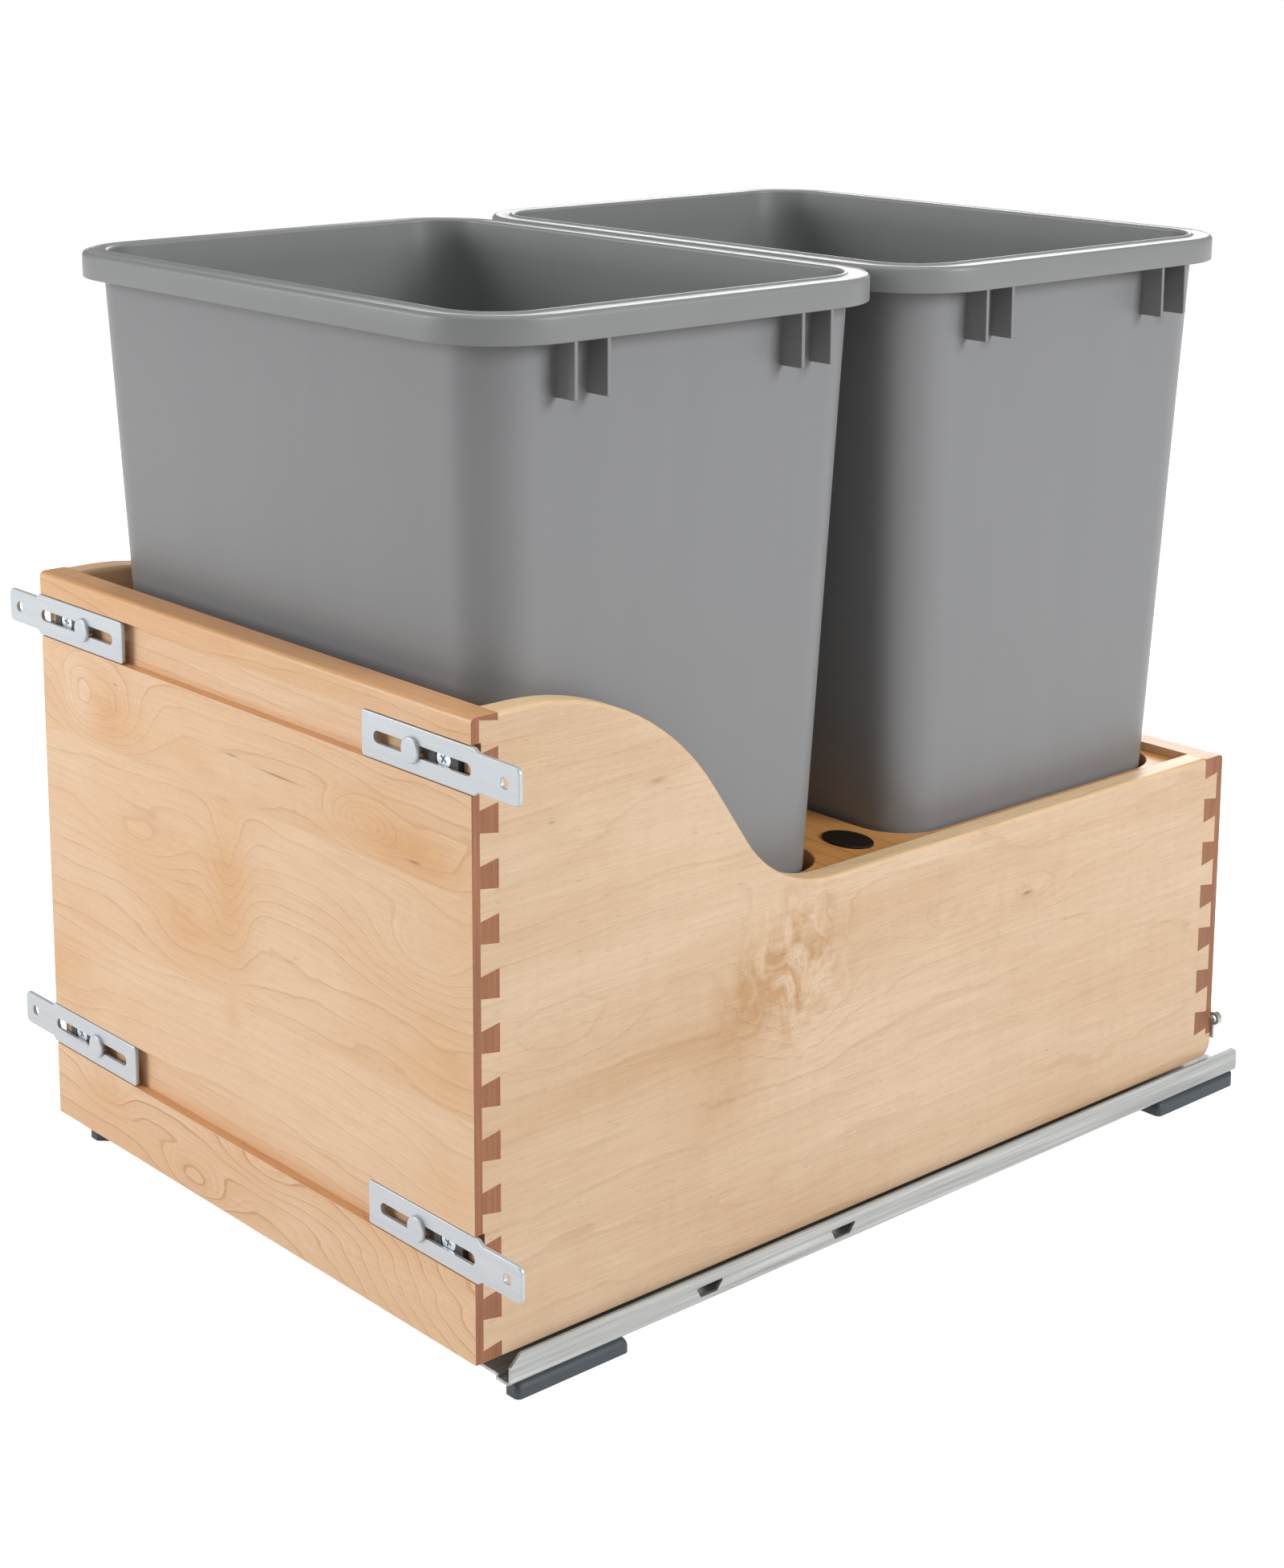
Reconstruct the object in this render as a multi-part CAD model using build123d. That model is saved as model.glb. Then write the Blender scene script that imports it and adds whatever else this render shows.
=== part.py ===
from build123d import *
import math
import os

# All sizes are millimetres.
# The pieces are drawn in the box frame: X to the right seen from the front, Y back from the front
# panel's face, Z up from the lower edges of the side panels. They move to the row frame on export.

# ---------------------------------------------------------------- wooden box
box_width = 364.6
box_depth = 536.0
front_height = 302.0
low_height = 179.0
panel_t = 15.0
lap = 4.5
top_round = 2.8
heel_round = 8.0
half_width = box_width / 2
inner_x = half_width - panel_t
inner_back = box_depth - panel_t

# bottom panel and bin holder panel, both let into grooves
let_in = 5.0
bottom_t = 6.35
bottom_z = 12.95
bottom_top = bottom_z + bottom_t
holder_t = 12.0
holder_drop = 4.8
holder_top = low_height - holder_drop
holder_low = holder_top - holder_t
holder_ease = 1.0

# dovetails: pins belong to the front and back panels, tails to the sides
pin_pitch = 25.4
pin_base_h = 13.95
pin_tip_h = 10.26
pin_least = 3.0
front_pin_rise = 3.39
back_pin_drop = 4.72

# curved top edge of the sides: a convex arc, a straight run and a concave arc
shoulder_y = 30.0
shoulder_r = 140.0
slope_len = 38.65
hollow_r = 70.0

# ---------------------------------------------------------------- bins
bin_height = 453.0
bin_top = bottom_top + bin_height
bin_wall = 2.5
bin_lip_h = 13.7
bin_taper = 0.0455
bin_corner = 30.0
bin_foot_corner = 24.0
bin_foot_round = 5.0
bin_side_gap = 1.3
bin_half_x = inner_x - bin_side_gap

# the rims stand above the box, so they reach out over its front and back
rim_reach_x = 13.4
rim_reach_y = 11.8
rim_corner_reach = 15.0
rim_round = 1.8
rim_gap = 6.0
rim_over_front = 4.5
rim_over_back = 19.5
rim_front = panel_t - rim_over_front
rim_half_x = bin_half_x + rim_reach_x
rim_half_y = (inner_back + rim_over_back - rim_front - rim_gap) / 4
rim_corner = bin_corner + rim_corner_reach
bin_half_y = rim_half_y - rim_reach_y
front_bin_y = rim_front + rim_half_y
rear_bin_y = front_bin_y + 2 * rim_half_y + rim_gap

rib_t = 2.0
rib_drop = 26.1
rib_step = 19.0
rib_end = 40.2
rib_short = 0.5
rib_root = 2.0
rib_far = bin_half_y - rib_end
rib_offsets = (-rib_far, rib_step - rib_far, rib_far - rib_step, rib_far)

# the holder panel's cut-outs follow the bins at its own height
opening_side_gap = 3.74
opening_front_gap = 5.84
opening_rear_gap = 2.94
opening_corner_gap = 2.95

# ---------------------------------------------------------------- bare oval plate
oval_w = 31.0
oval_d = 21.5
oval_t = 1.2
oval_ease = 0.4
oval_inset = 28.3
oval_set_back = 2.05

# ---------------------------------------------------------------- door brackets
plate_t = 2.0
bracket_len = 112.7
bracket_h = 21.8
bracket_reach = 32.7
ear_h = 17.8
ear_start = 1.7
ear_slope = 3.0
ear_round = 3.5
plate_round = 1.8
plate_ease = 0.4
ear_hole_inset = 10.0
ear_hole_r = 2.8
slot_inset = 9.3
slot_len = 70.4
slot_play = 0.6
bracket_out = half_width + bracket_reach
bracket_in = bracket_out - bracket_len
ear_from = half_width + ear_start
ear_hole_x = bracket_out - ear_hole_inset
slot_in = bracket_in + slot_inset
slot_out = slot_in + slot_len

# grooves across the front panel take the brackets
groove_depth = 5.5
groove_play = 1.0
groove_h = bracket_h + groove_play
upper_groove_z = front_height - 23.41
lower_groove_z = 51.09
plate_drop = 0.15
bracket_levels = (upper_groove_z - plate_drop, lower_groove_z - plate_drop)

guide_from_slot = 28.4
guide_x = slot_in + guide_from_slot
guide_head_r = 6.2
guide_head_t = 1.8
guide_head_ease = 0.9
guide_shank_r = 2.6
guide_thread_r = 1.8
guide_tip_wall = 1.0
slot_h = 2 * guide_shank_r + slot_play

clamp_from_guide = 20.0
clamp_x = guide_x + clamp_from_guide
clamp_w = 21.6
clamp_h = 15.0
clamp_round = 1.5
clamp_head_r = 5.1
clamp_head_t = 1.7
clamp_sink = 0.2
clamp_head_gap = 0.3
clamp_recess = 5.0
clamp_thread_r = 2.0
clamp_tip_wall = 2.0
block_gap = 0.1

# ---------------------------------------------------------------- slides
# each slide is three profiles about one middle line, with a row of rollers between each two
sheet_t = 1.5
bend_r = 1.4
run_gap = 0.3
slide_inset = 14.3
slide_x = inner_x - slide_inset

foot_h = 8.0
rail_h = 15.0
rail_low = -14.5
rail_top = rail_low + rail_h
floor_z = rail_low - foot_h
rail_side_gap = 5.0
rail_out = half_width + rail_side_gap
rail_front = 16.0
rail_tail = 19.4
rail_rear = box_depth + rail_tail
rail_tail_round = 5.0
channel_w = 10.8
channel_in = rail_out - channel_w
channel_mid = (channel_in + rail_out) / 2
shelf_rise = 3.5
shelf_top = rail_low + shelf_rise
upstand_h = 9.0
nose_cut_len = 6.0
nose_cut_h = 5.5

window_len = 18.0
window_h = 5.4
window_rise = 3.8
window_slopes = (3.1, 4.4)
window_round = 0.6
window_places = (114.3, 206.0)

lower_room = 11.0
middle_web = shelf_top + lower_room
middle_half = 9.0
middle_low = shelf_top + 3.0
middle_front = 60.0
middle_rear = rail_rear - 15.4
stop_hole_r = 2.0
stop_hole_inset = 12.0

member_half = 13.0
member_low = 2.0
member_front = rail_front + 2.0
member_in = slide_x - member_half
member_out = slide_x + member_half
member_inner_top = bottom_z - sheet_t
middle_top = member_inner_top - 1.95

hook_w = 12.0
hook_x = slide_x - 1.0
hook_pin_r = 2.9
hook_pin_z = bottom_z + 9.05
hook_top = hook_pin_z + 6.0
hook_pin_gap = 0.5

travel = box_depth - 3.0
cage_wall = 2.2
cage_end = 12.0
cage_play = 0.8
cage_low_by = 1.6
cage_half_x = middle_half - sheet_t - cage_play
roller_half = cage_half_x - cage_wall
roller_pin_r = 1.5
roller_pin_gap = 0.4
roller_room = 0.4
roller_pitch = 40.0
roller_count = 5
roller_span = roller_pitch * (roller_count - 1)
cage_len = roller_span + 2 * cage_end
upper_cage_y = middle_front + travel / 4 + cage_len / 2 + 14.75
lower_cage_y = upper_cage_y - 20.0

lower_r = lower_room / 2 - run_gap
lower_z = middle_web - lower_room / 2
upper_room = member_inner_top - middle_web - sheet_t
upper_r = upper_room / 2 - run_gap
upper_z = member_inner_top - upper_room / 2

# ---------------------------------------------------------------- feet
foot_in = channel_in - 4.5
foot_half_len = 34.0
foot_round = 3.0
foot_shoulder = 5.0
foot_corner_cut = 7.0
rear_foot_tail = 34.5
rear_foot_in = foot_in - 22.0
rear_foot_step = 30.0
floor_hole_r = 2.1
front_hole_y = rail_front + 38.0
rear_hole_y = rail_rear - 36.4
rivet_step = 22.0
rivet_r = 1.8
rivet_bite = 4.0
rivet_head_r = 3.2
rivet_head_h = 1.2
rivet_round = 0.9

# ---------------------------------------------------------------- rear tabs
tab_t = 1.5
tab_boss_t = 3.4
tab_end_r = 3.8
tab_round = 3.0
tab_hole_r = 2.0
tab_hole_x = half_width + 1.7
tab_hole_z = 21.8
tab_screw_x = inner_x - 3.8
tab_screw_z = (26.0, 36.0)
tab_margin = 4.5
tab_top = tab_screw_z[1] + 6.0
tab_screw_r = 1.6
tab_head_r = 3.2
tab_head_h = 1.6
tab_head_round = 1.0
tab_screw_wall = 3.0
tab_recess = 3.4

# ---------------------------------------------------------------- locking devices
lock_w = 22.0
lock_gap = 2.0
lock_x = (member_in - lock_gap - lock_w, member_in - lock_gap)
lock_mid = sum(lock_x) / 2
lock_y = (panel_t, panel_t + 61.0)
lock_plate_t = 4.75
lock_plate_z = bottom_z - lock_plate_t
guard_t = 1.6
guard_len = 20.0
guard_low = 1.8

lever_t = 3.9
lever_z = (lock_plate_z - run_gap - lever_t, lock_plate_z - run_gap)
lever_y = lock_y[1] - 10.0
lever_half = 4.0
lever_front = lock_y[0] + 15.0
lever_boss_r = 3.0
lever_eye_r = 6.2
cap_r = lever_boss_r + 1.6
cap_z = (guard_low, lever_z[0] - run_gap)
cap_bite = 0.5
nose_y = (lever_y - 23.0, lever_y - 16.0)
nose_through = 1.1
nose_reach = member_in + sheet_t + nose_through
notch_gap_y = 3.0
notch_gap_z = 1.0
grip_half = 6.0
grip_y = (lever_front - 4.0, lever_front + 2.0)
grip_low = -3.0

lock_screw_r = 1.5
lock_head_r = 2.8
lock_head_h = 1.6
lock_head_round = 0.9
lock_screw_bite = 4.5
lock_screw_y = lock_y[0] + 7.0
lock_screw_half = 6.0

# ---------------------------------------------------------------- row frame
total_depth = rail_rear + guide_head_t
to_row = (0.0, guide_head_t - total_depth / 2, -floor_z)
beyond = 1.0


def block(x, y, z):
    """A box between three (low, high) pairs."""
    size = (x[1] - x[0], y[1] - y[0], z[1] - z[0])
    middle = ((x[0] + x[1]) / 2, (y[0] + y[1]) / 2, (z[0] + z[1]) / 2)
    return Pos(*middle) * Box(*size)


def rod_x(y, z, x, r):
    """A cylinder along X between the two x values."""
    return Pos((x[0] + x[1]) / 2, y, z) * Rot(0, 90, 0) * Cylinder(r, x[1] - x[0])


def rod_y(x, z, y, r):
    """A cylinder along Y between the two y values."""
    return Pos(x, (y[0] + y[1]) / 2, z) * Rot(90, 0, 0) * Cylinder(r, y[1] - y[0])


def rod_z(x, y, z, r):
    """A cylinder along Z between the two z values."""
    return Pos(x, y, (z[0] + z[1]) / 2) * Cylinder(r, z[1] - z[0])


def along_y(face, y):
    """Extrude a face drawn with X and Z coordinates between two y values."""
    return extrude(Plane.XZ.offset(-y[1]) * face, y[1] - y[0])


def along_x(face, x):
    """Extrude a face drawn with Y and Z coordinates between two x values."""
    return extrude(Plane.YZ.offset(x[0]) * face, x[1] - x[0])


def polygon(*points):
    """A face from its corner points."""
    return make_face(Polyline(*points, close=True))


def corner_at(face, u, v):
    """The corner of a face at one place."""
    return face.vertices().sort_by_distance((u, v, 0))[0]


def left_of(part):
    """The mirror piece on the left side."""
    return mirror(part, about=Plane.YZ)


def both_sides(part):
    """The piece and its mirror piece as one group."""
    return [part, left_of(part)]


def around(middle, half):
    """The (low, high) pair about a middle value."""
    return (middle - half, middle + half)


def cross_recess(x, y, z, size):
    """A cross-shaped driver recess, 0.9 deep each way about y."""
    bars = [Box(size, 1.8, size / 4), Box(size / 4, 1.8, size)]
    return [Pos(x, y, z) * Rot(0, 45, 0) * bar for bar in bars]


# ---------------------------------------------------------------- wooden box
def pins(base_y, tip_y, top, low):
    """The right-hand row of dovetail pins, from the top one's middle down to the panel's lower edge."""
    count = int((top + pin_base_h / 2 - low - pin_least) // pin_pitch) + 1
    row = []
    for number in range(count):
        z = top - number * pin_pitch
        row.append(along_x(polygon(
            (base_y, z - pin_base_h / 2),
            (tip_y, z - pin_tip_h / 2),
            (tip_y, z + pin_tip_h / 2),
            (base_y, z + pin_base_h / 2),
        ), (inner_x, half_width)))
    return row


def front_pins():
    return pins(panel_t, lap, front_height + front_pin_rise, 0)


def back_pins():
    return pins(inner_back, box_depth - lap, low_height - back_pin_drop, bottom_z)


def bracket_grooves():
    """The two grooves across the face of the box."""
    reach = around(0, half_width + beyond)
    depth = (-beyond, groove_depth)
    return [block(reach, depth, around(z, groove_h / 2)) for z in (upper_groove_z, lower_groove_z)]


def let_in_panels():
    """The room that the bottom panel and the holder panel take up in the four walls."""
    x = around(0, inner_x + let_in)
    y = (panel_t - let_in, inner_back + let_in)
    return [block(x, y, (bottom_z, bottom_top)), block(x, y, (holder_low, holder_top))]


def bracket_places():
    """Side and height of the four brackets."""
    return [(side, z) for side in (1, -1) for z in bracket_levels]


def front_panel():
    limit = block(around(0, half_width), (0, panel_t), (0, front_height))
    body = block(around(0, inner_x), (0, panel_t), (0, front_height))
    body += block(around(0, half_width), (0, lap), (0, front_height))
    for pin in front_pins():
        body += both_sides(pin)
    body = body & limit
    nose = body.edges().filter_by(Axis.X).group_by(Axis.Z)[-1].sort_by(Axis.Y)[0]
    body = fillet(nose, top_round)
    body -= bracket_grooves()
    body -= let_in_panels()
    for side, z in bracket_places():
        body -= guide_thread(side, z)
        body -= clamp_thread(side, z)
    return body


def back_panel():
    z = (bottom_z, low_height)
    limit = block(around(0, half_width), (inner_back, box_depth), z)
    body = block(around(0, inner_x), (inner_back, box_depth), z)
    body += block(around(0, half_width), (box_depth - lap, box_depth), z)
    for pin in back_pins():
        body += both_sides(pin)
    body = body & limit
    heel = body.edges().filter_by(Axis.X).group_by(Axis.Z)[-1].sort_by(Axis.Y)[-1]
    body = fillet(heel, top_round)
    body -= let_in_panels()
    body -= both_sides(hook_pin())
    for screw in tab_screws():
        body -= screw
    return body


def side_outline():
    """The side seen from the right, with its curved top edge."""
    shoulder_z = front_height - shoulder_r
    hollow_z = low_height + hollow_r
    both_r = shoulder_r + hollow_r
    reach = math.hypot(both_r, slope_len)
    turn = math.atan2(slope_len, both_r) + math.asin((hollow_z - shoulder_z) / reach)
    ray = (math.cos(turn), math.sin(turn))
    hollow_y = shoulder_y + both_r * ray[0] + slope_len * ray[1]
    leave = (shoulder_y + shoulder_r * ray[0], shoulder_z + shoulder_r * ray[1])
    land = (hollow_y - hollow_r * ray[0], hollow_z - hollow_r * ray[1])
    crest = (shoulder_y, front_height)
    dip = (hollow_y, low_height)
    half_turn = (turn + math.pi / 2) / 2
    half_ray = (math.cos(half_turn), math.sin(half_turn))
    crown = (shoulder_y + shoulder_r * half_ray[0], shoulder_z + shoulder_r * half_ray[1])
    scoop = (hollow_y - hollow_r * half_ray[0], hollow_z - hollow_r * half_ray[1])
    edges = [
        Line((panel_t, 0), (panel_t, front_height)),
        Line((panel_t, front_height), crest),
        ThreePointArc(crest, crown, leave),
        Line(leave, land),
        ThreePointArc(land, scoop, dip),
        Line(dip, (inner_back, low_height)),
        Line((inner_back, low_height), (inner_back, 0)),
        Line((inner_back, 0), (panel_t, 0)),
    ]
    return make_face(edges)


def side_panel():
    """The right side: a curved board, tails at both ends and a heel under the back panel."""
    x = (inner_x, half_width)
    board = along_x(side_outline(), x)
    top = board.edges().filter_by(lambda edge: edge.center().Z > low_height - 1)
    top = top.filter_by(lambda edge: abs(edge.center().X - inner_x - panel_t / 2) > panel_t / 2 - 0.1)
    board = fillet(top, top_round)
    front_tails = block(x, (lap, panel_t), (0, front_height))
    rear_tails = block(x, (inner_back, box_depth - lap), (bottom_z, low_height))
    front_tails -= front_pins()
    rear_tails -= back_pins()
    heel = block(x, (inner_back, box_depth), (0, bottom_z))
    corner = heel.edges().filter_by(Axis.X).group_by(Axis.Z)[0].sort_by(Axis.Y)[-1]
    heel = fillet(corner, heel_round)
    body = board + front_tails + rear_tails + heel
    body -= bracket_grooves()
    body -= let_in_panels()
    return body


def bottom_panel():
    body = let_in_panels()[0]
    for screw in lock_screws():
        body -= screw
    return body


def holder_openings():
    """Middle and half depth of the holder panel's two cut-outs."""
    half_y = bin_half(bin_half_y, holder_top)
    return [(front_bin_y, half_y + opening_front_gap), (rear_bin_y, half_y + opening_rear_gap)]


def bin_holder_panel():
    body = let_in_panels()[1]
    half_x = bin_half(bin_half_x, holder_top) + opening_side_gap
    corner = bin_corner_at(holder_top) + opening_corner_gap
    for y, half_y in holder_openings():
        cut = RectangleRounded(2 * half_x, 2 * half_y, corner)
        body -= extrude(Plane.XY.offset(holder_low - beyond) * Pos(0, y) * cut, holder_t + 2 * beyond)
    edges = body.edges().group_by(Axis.Z)[-1].filter_by(
        lambda edge: abs(edge.center().X) < inner_x - 2 and panel_t < edge.center().Y < inner_back - 2)
    return fillet(edges, holder_ease)


def oval_plate():
    """A bare oval plate on the bridge between the two cut-outs."""
    (front_y, front_half), (rear_y, rear_half) = holder_openings()
    y = (front_y + front_half + rear_y - rear_half) / 2 + oval_set_back
    outline = Pos(inner_x - oval_inset, y) * Ellipse(oval_w / 2, oval_d / 2)
    body = extrude(Plane.XY.offset(holder_top) * outline, oval_t)
    return chamfer(body.edges().group_by(Axis.Z)[-1], oval_ease)


# ---------------------------------------------------------------- bins
def bin_half(half, z):
    """The tapered wall's half size at one height, from its half size under the rim."""
    return half - bin_taper * (bin_top - bin_lip_h - z)


def bin_corner_at(z):
    """The wall's corner radius at one height."""
    share = (z - bottom_top) / bin_height
    return bin_foot_corner + (bin_corner - bin_foot_corner) * share


def bin_section(z, inset, y):
    """The bin wall's outline at one height, moved in by the inset."""
    outline = RectangleRounded(
        2 * (bin_half(bin_half_x, z) - inset),
        2 * (bin_half(bin_half_y, z) - inset),
        bin_corner_at(z) - inset,
    )
    return Plane.XY.offset(z) * Pos(0, y) * outline


def bin_rim(y):
    """The wide turned-down rim, open below."""
    rim_low = bin_top - bin_lip_h
    outside = RectangleRounded(2 * rim_half_x, 2 * rim_half_y, rim_corner)
    inside = RectangleRounded(
        2 * (rim_half_x - bin_wall), 2 * (rim_half_y - bin_wall), rim_corner - bin_wall)
    rim = extrude(Plane.XY.offset(rim_low) * Pos(0, y) * outside, bin_lip_h)
    rim = fillet(rim.edges().group_by(Axis.Z)[-1], rim_round)
    under = extrude(Plane.XY.offset(rim_low - beyond) * Pos(0, y) * inside, bin_lip_h + beyond - bin_wall)
    return rim - under


def bin_rib(y, side):
    """A rib under the rim's end, with its upper part inside the turned-down rim."""
    rim_low = bin_top - bin_lip_h
    span = around(y, rib_t / 2)
    root = side * (bin_half_x - rib_root)
    x = sorted((root, side * (rim_half_x - rib_short)))
    body = block(x, span, (rim_low - rib_drop, rim_low + 1))
    x = sorted((root, side * (rim_half_x - 2 * rib_short)))
    return body + block(x, span, (rim_low, bin_top - 1))


def bin_body(y):
    """A tapered bin with a wide turned-down rim and ribs under the rim's long ends."""
    body = loft([bin_section(bottom_top, 0, y), bin_section(bin_top, 0, y)])
    body = fillet(body.edges().group_by(Axis.Z)[0], bin_foot_round)
    body += bin_rim(y)
    for offset in rib_offsets:
        for side in (1, -1):
            body += bin_rib(y + offset, side)
    hollow = loft([
        bin_section(bottom_top + bin_wall, bin_wall, y),
        bin_section(bin_top + beyond, bin_wall, y),
    ])
    return body - fillet(hollow.edges().group_by(Axis.Z)[0], bin_foot_round - beyond)


# ---------------------------------------------------------------- door brackets
def door_bracket(z):
    """A slotted plate in a groove of the front panel, with a narrower ear past the box."""
    half = bracket_h / 2
    ear = ear_h / 2
    face = polygon(
        (bracket_in, z - half),
        (ear_from, z - half),
        (ear_from + ear_slope, z - ear),
        (bracket_out, z - ear),
        (bracket_out, z + ear),
        (ear_from + ear_slope, z + ear),
        (ear_from, z + half),
        (bracket_in, z + half),
    )
    face = fillet(face.vertices().sort_by(Axis.X)[:2], plate_round)
    face = fillet(face.vertices().sort_by(Axis.X)[-2:], ear_round)
    slot = Pos((slot_in + slot_out) / 2, z) * SlotOverall(slot_out - slot_in, slot_h)
    hole = Pos(ear_hole_x, z) * Circle(ear_hole_r)
    body = along_y(face - slot - hole, (0, plate_t))
    outline = body.edges().group_by(Axis.Y)[0].filter_by(
        lambda edge: abs(edge.center().Z - z) > slot_h or edge.center().X < slot_in - 2)
    return chamfer(outline, plate_ease)


def guide_thread(side, z):
    """The threaded end of a shoulder screw in the front panel."""
    return rod_y(side * guide_x, z, (groove_depth, panel_t - guide_tip_wall), guide_thread_r)


def guide_screw(side, z):
    """A shoulder screw: its flat head holds the plate, its shoulder runs in the slot."""
    head = rod_y(side * guide_x, z, (-guide_head_t, 0), guide_head_r)
    head = chamfer(head.edges().group_by(Axis.Y)[0], guide_head_ease)
    shoulder = rod_y(side * guide_x, z, (0, groove_depth), guide_shank_r)
    return head + shoulder + guide_thread(side, z)


def clamp_thread(side, z):
    """The threaded end of a clamp screw in the front panel."""
    return rod_y(side * clamp_x, z, (groove_depth, panel_t - clamp_tip_wall), clamp_thread_r)


def clamp_block(side, z):
    """The block behind a bracket's slot, with a pocket for the screw's head."""
    x = side * clamp_x
    y = (plate_t, groove_depth - block_gap)
    pocket_y = (plate_t, plate_t + clamp_sink + clamp_head_t)
    body = block(around(x, clamp_w / 2), y, around(z, clamp_h / 2))
    body = fillet(body.edges().filter_by(Axis.Y), clamp_round)
    body -= rod_y(x, z, pocket_y, clamp_head_r + clamp_head_gap)
    return body - rod_y(x, z, (plate_t, groove_depth + beyond), clamp_thread_r)


def clamp_screw(side, z):
    x = side * clamp_x
    face_y = plate_t + clamp_sink
    head = rod_y(x, z, (face_y, face_y + clamp_head_t), clamp_head_r)
    shank = rod_y(x, z, (face_y + clamp_head_t, groove_depth), clamp_thread_r)
    return head + shank + clamp_thread(side, z) - cross_recess(x, face_y, z, clamp_recess)


def bracket_group(make):
    return Compound(children=[make(side, z) for side, z in bracket_places()])


# ---------------------------------------------------------------- slides
def rail_section():
    """The bent sheet of the cabinet rail: outer flange, channel, shelf and inner upstand."""
    t = sheet_t
    upstand_top = shelf_top + upstand_h
    face = polygon(
        (rail_out, rail_low),
        (rail_out, rail_top),
        (rail_out - t, rail_top),
        (rail_out - t, rail_low + t),
        (channel_in + t, rail_low + t),
        (channel_in + t, shelf_top),
        (member_in + t, shelf_top),
        (member_in + t, upstand_top),
        (member_in, upstand_top),
        (member_in, shelf_top - t),
        (channel_in, shelf_top - t),
        (channel_in, rail_low),
    )
    face = fillet(corner_at(face, rail_out, rail_low), 2 * bend_r)
    face = fillet(corner_at(face, rail_out - t, rail_low + t), bend_r)
    return fillet(corner_at(face, member_in, shelf_top - t), bend_r)


def rail_window(y):
    """A trapezoid window in the rail's outer flange."""
    low = rail_low + window_rise
    high = low + window_h
    face = polygon(
        (y, high),
        (y + window_slopes[0], low),
        (y + window_len - window_slopes[1], low),
        (y + window_len, high),
    )
    return along_x(fillet(face.vertices(), window_round), (rail_out - 2 * sheet_t, rail_out + beyond))


def foot_rivet_places():
    """Where the rivets stand along the rail."""
    return [y + step for y in (front_hole_y, rear_hole_y) for step in (-rivet_step, rivet_step)]


def cabinet_rail():
    body = along_y(rail_section(), (rail_front, rail_rear))
    body -= [rail_window(rail_front + place) for place in window_places]
    nose_cut = polygon(
        (rail_front - beyond, rail_top + beyond),
        (rail_front + nose_cut_len, rail_top + beyond),
        (rail_front + nose_cut_len, rail_top),
        (rail_front, rail_top - nose_cut_h),
        (rail_front - beyond, rail_top - nose_cut_h),
    )
    body -= along_x(nose_cut, (rail_out - 2 * sheet_t, rail_out + beyond))
    corner = body.edges().filter_by(Axis.X).filter_by(
        lambda edge: edge.center().Y > rail_rear - 0.1 and edge.center().Z > rail_top - 0.1)
    body = fillet(corner, rail_tail_round)
    for y in (front_hole_y, rear_hole_y):
        body -= rod_z(channel_mid, y, (rail_low - beyond, shelf_top), floor_hole_r)
    for y in foot_rivet_places():
        body -= rod_z(channel_mid, y, (rail_low - beyond, shelf_top), rivet_r)
    return body


def foot_rivets():
    seat = rail_low + sheet_t
    group = []
    for y in foot_rivet_places():
        shank = rod_z(channel_mid, y, (rail_low - rivet_bite, seat), rivet_r)
        head = rod_z(channel_mid, y, (seat, seat + rivet_head_h), rivet_head_r)
        head = fillet(head.edges().group_by(Axis.Z)[-1], rivet_round)
        group += both_sides(shank + head)
    return Compound(children=group)


def foot_holes():
    """The screw holes and rivet holes of the right feet."""
    holes = [rod_z(channel_mid, y, (floor_z - beyond, rail_low + beyond), floor_hole_r)
             for y in (front_hole_y, rear_hole_y)]
    holes += [rod_z(channel_mid, y, (rail_low - rivet_bite, rail_low + beyond), rivet_r)
              for y in foot_rivet_places()]
    return holes


def front_foot():
    body = block((foot_in, rail_out), around(front_hole_y, foot_half_len), (floor_z, rail_low))
    uprights = body.edges().filter_by(Axis.Z).group_by(Axis.Y)[0].sort_by(Axis.X)
    body = chamfer(uprights[0], foot_corner_cut)
    uprights = body.edges().filter_by(Axis.Z).filter_by(lambda edge: edge.center().X > rail_out - 1)
    body = fillet(uprights, foot_round)
    top = body.edges().filter_by(Axis.X).group_by(Axis.Z)[-1].sort_by(Axis.Y)[-1]
    return fillet(top, foot_shoulder) - foot_holes()


def rear_foot():
    """The rear foot, with a step that reaches in under the shelf."""
    y = (rear_hole_y - foot_half_len, rear_hole_y + rear_foot_tail)
    body = block((foot_in, rail_out), y, (floor_z, rail_low))
    top = body.edges().filter_by(Axis.X).group_by(Axis.Z)[-1].sort_by(Axis.Y)[0]
    body = fillet(top, foot_shoulder)
    uprights = body.edges().filter_by(Axis.Z).filter_by(lambda edge: edge.center().X > rail_out - 1)
    body = fillet(uprights, foot_round)
    step_y = (y[0] + rear_foot_step, y[1])
    inward = block((rear_foot_in, foot_in), step_y, (floor_z, rail_low))
    step = block((rear_foot_in, channel_in), step_y, (rail_low, shelf_top - sheet_t))
    return body + inward + step - foot_holes()


def intermediate_member():
    """The H-shaped middle profile that runs between the two sets of rollers."""
    x = around(slide_x, middle_half)
    y = (middle_front, middle_rear)
    z = (middle_low, middle_top)
    web = (middle_web, middle_web + sheet_t)
    body = block((x[0], x[0] + sheet_t), y, z)
    body += block((x[1] - sheet_t, x[1]), y, z)
    body += block(x, y, web)
    for place in (middle_front + stop_hole_inset, middle_rear - stop_hole_inset):
        body -= rod_z(slide_x, place, (web[0] - beyond, web[1] + beyond), stop_hole_r)
    return body


def hook_pin():
    """The right member's pin that enters the back panel."""
    return rod_y(hook_x, hook_pin_z, (inner_back + let_in + hook_pin_gap, box_depth), hook_pin_r)


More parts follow.
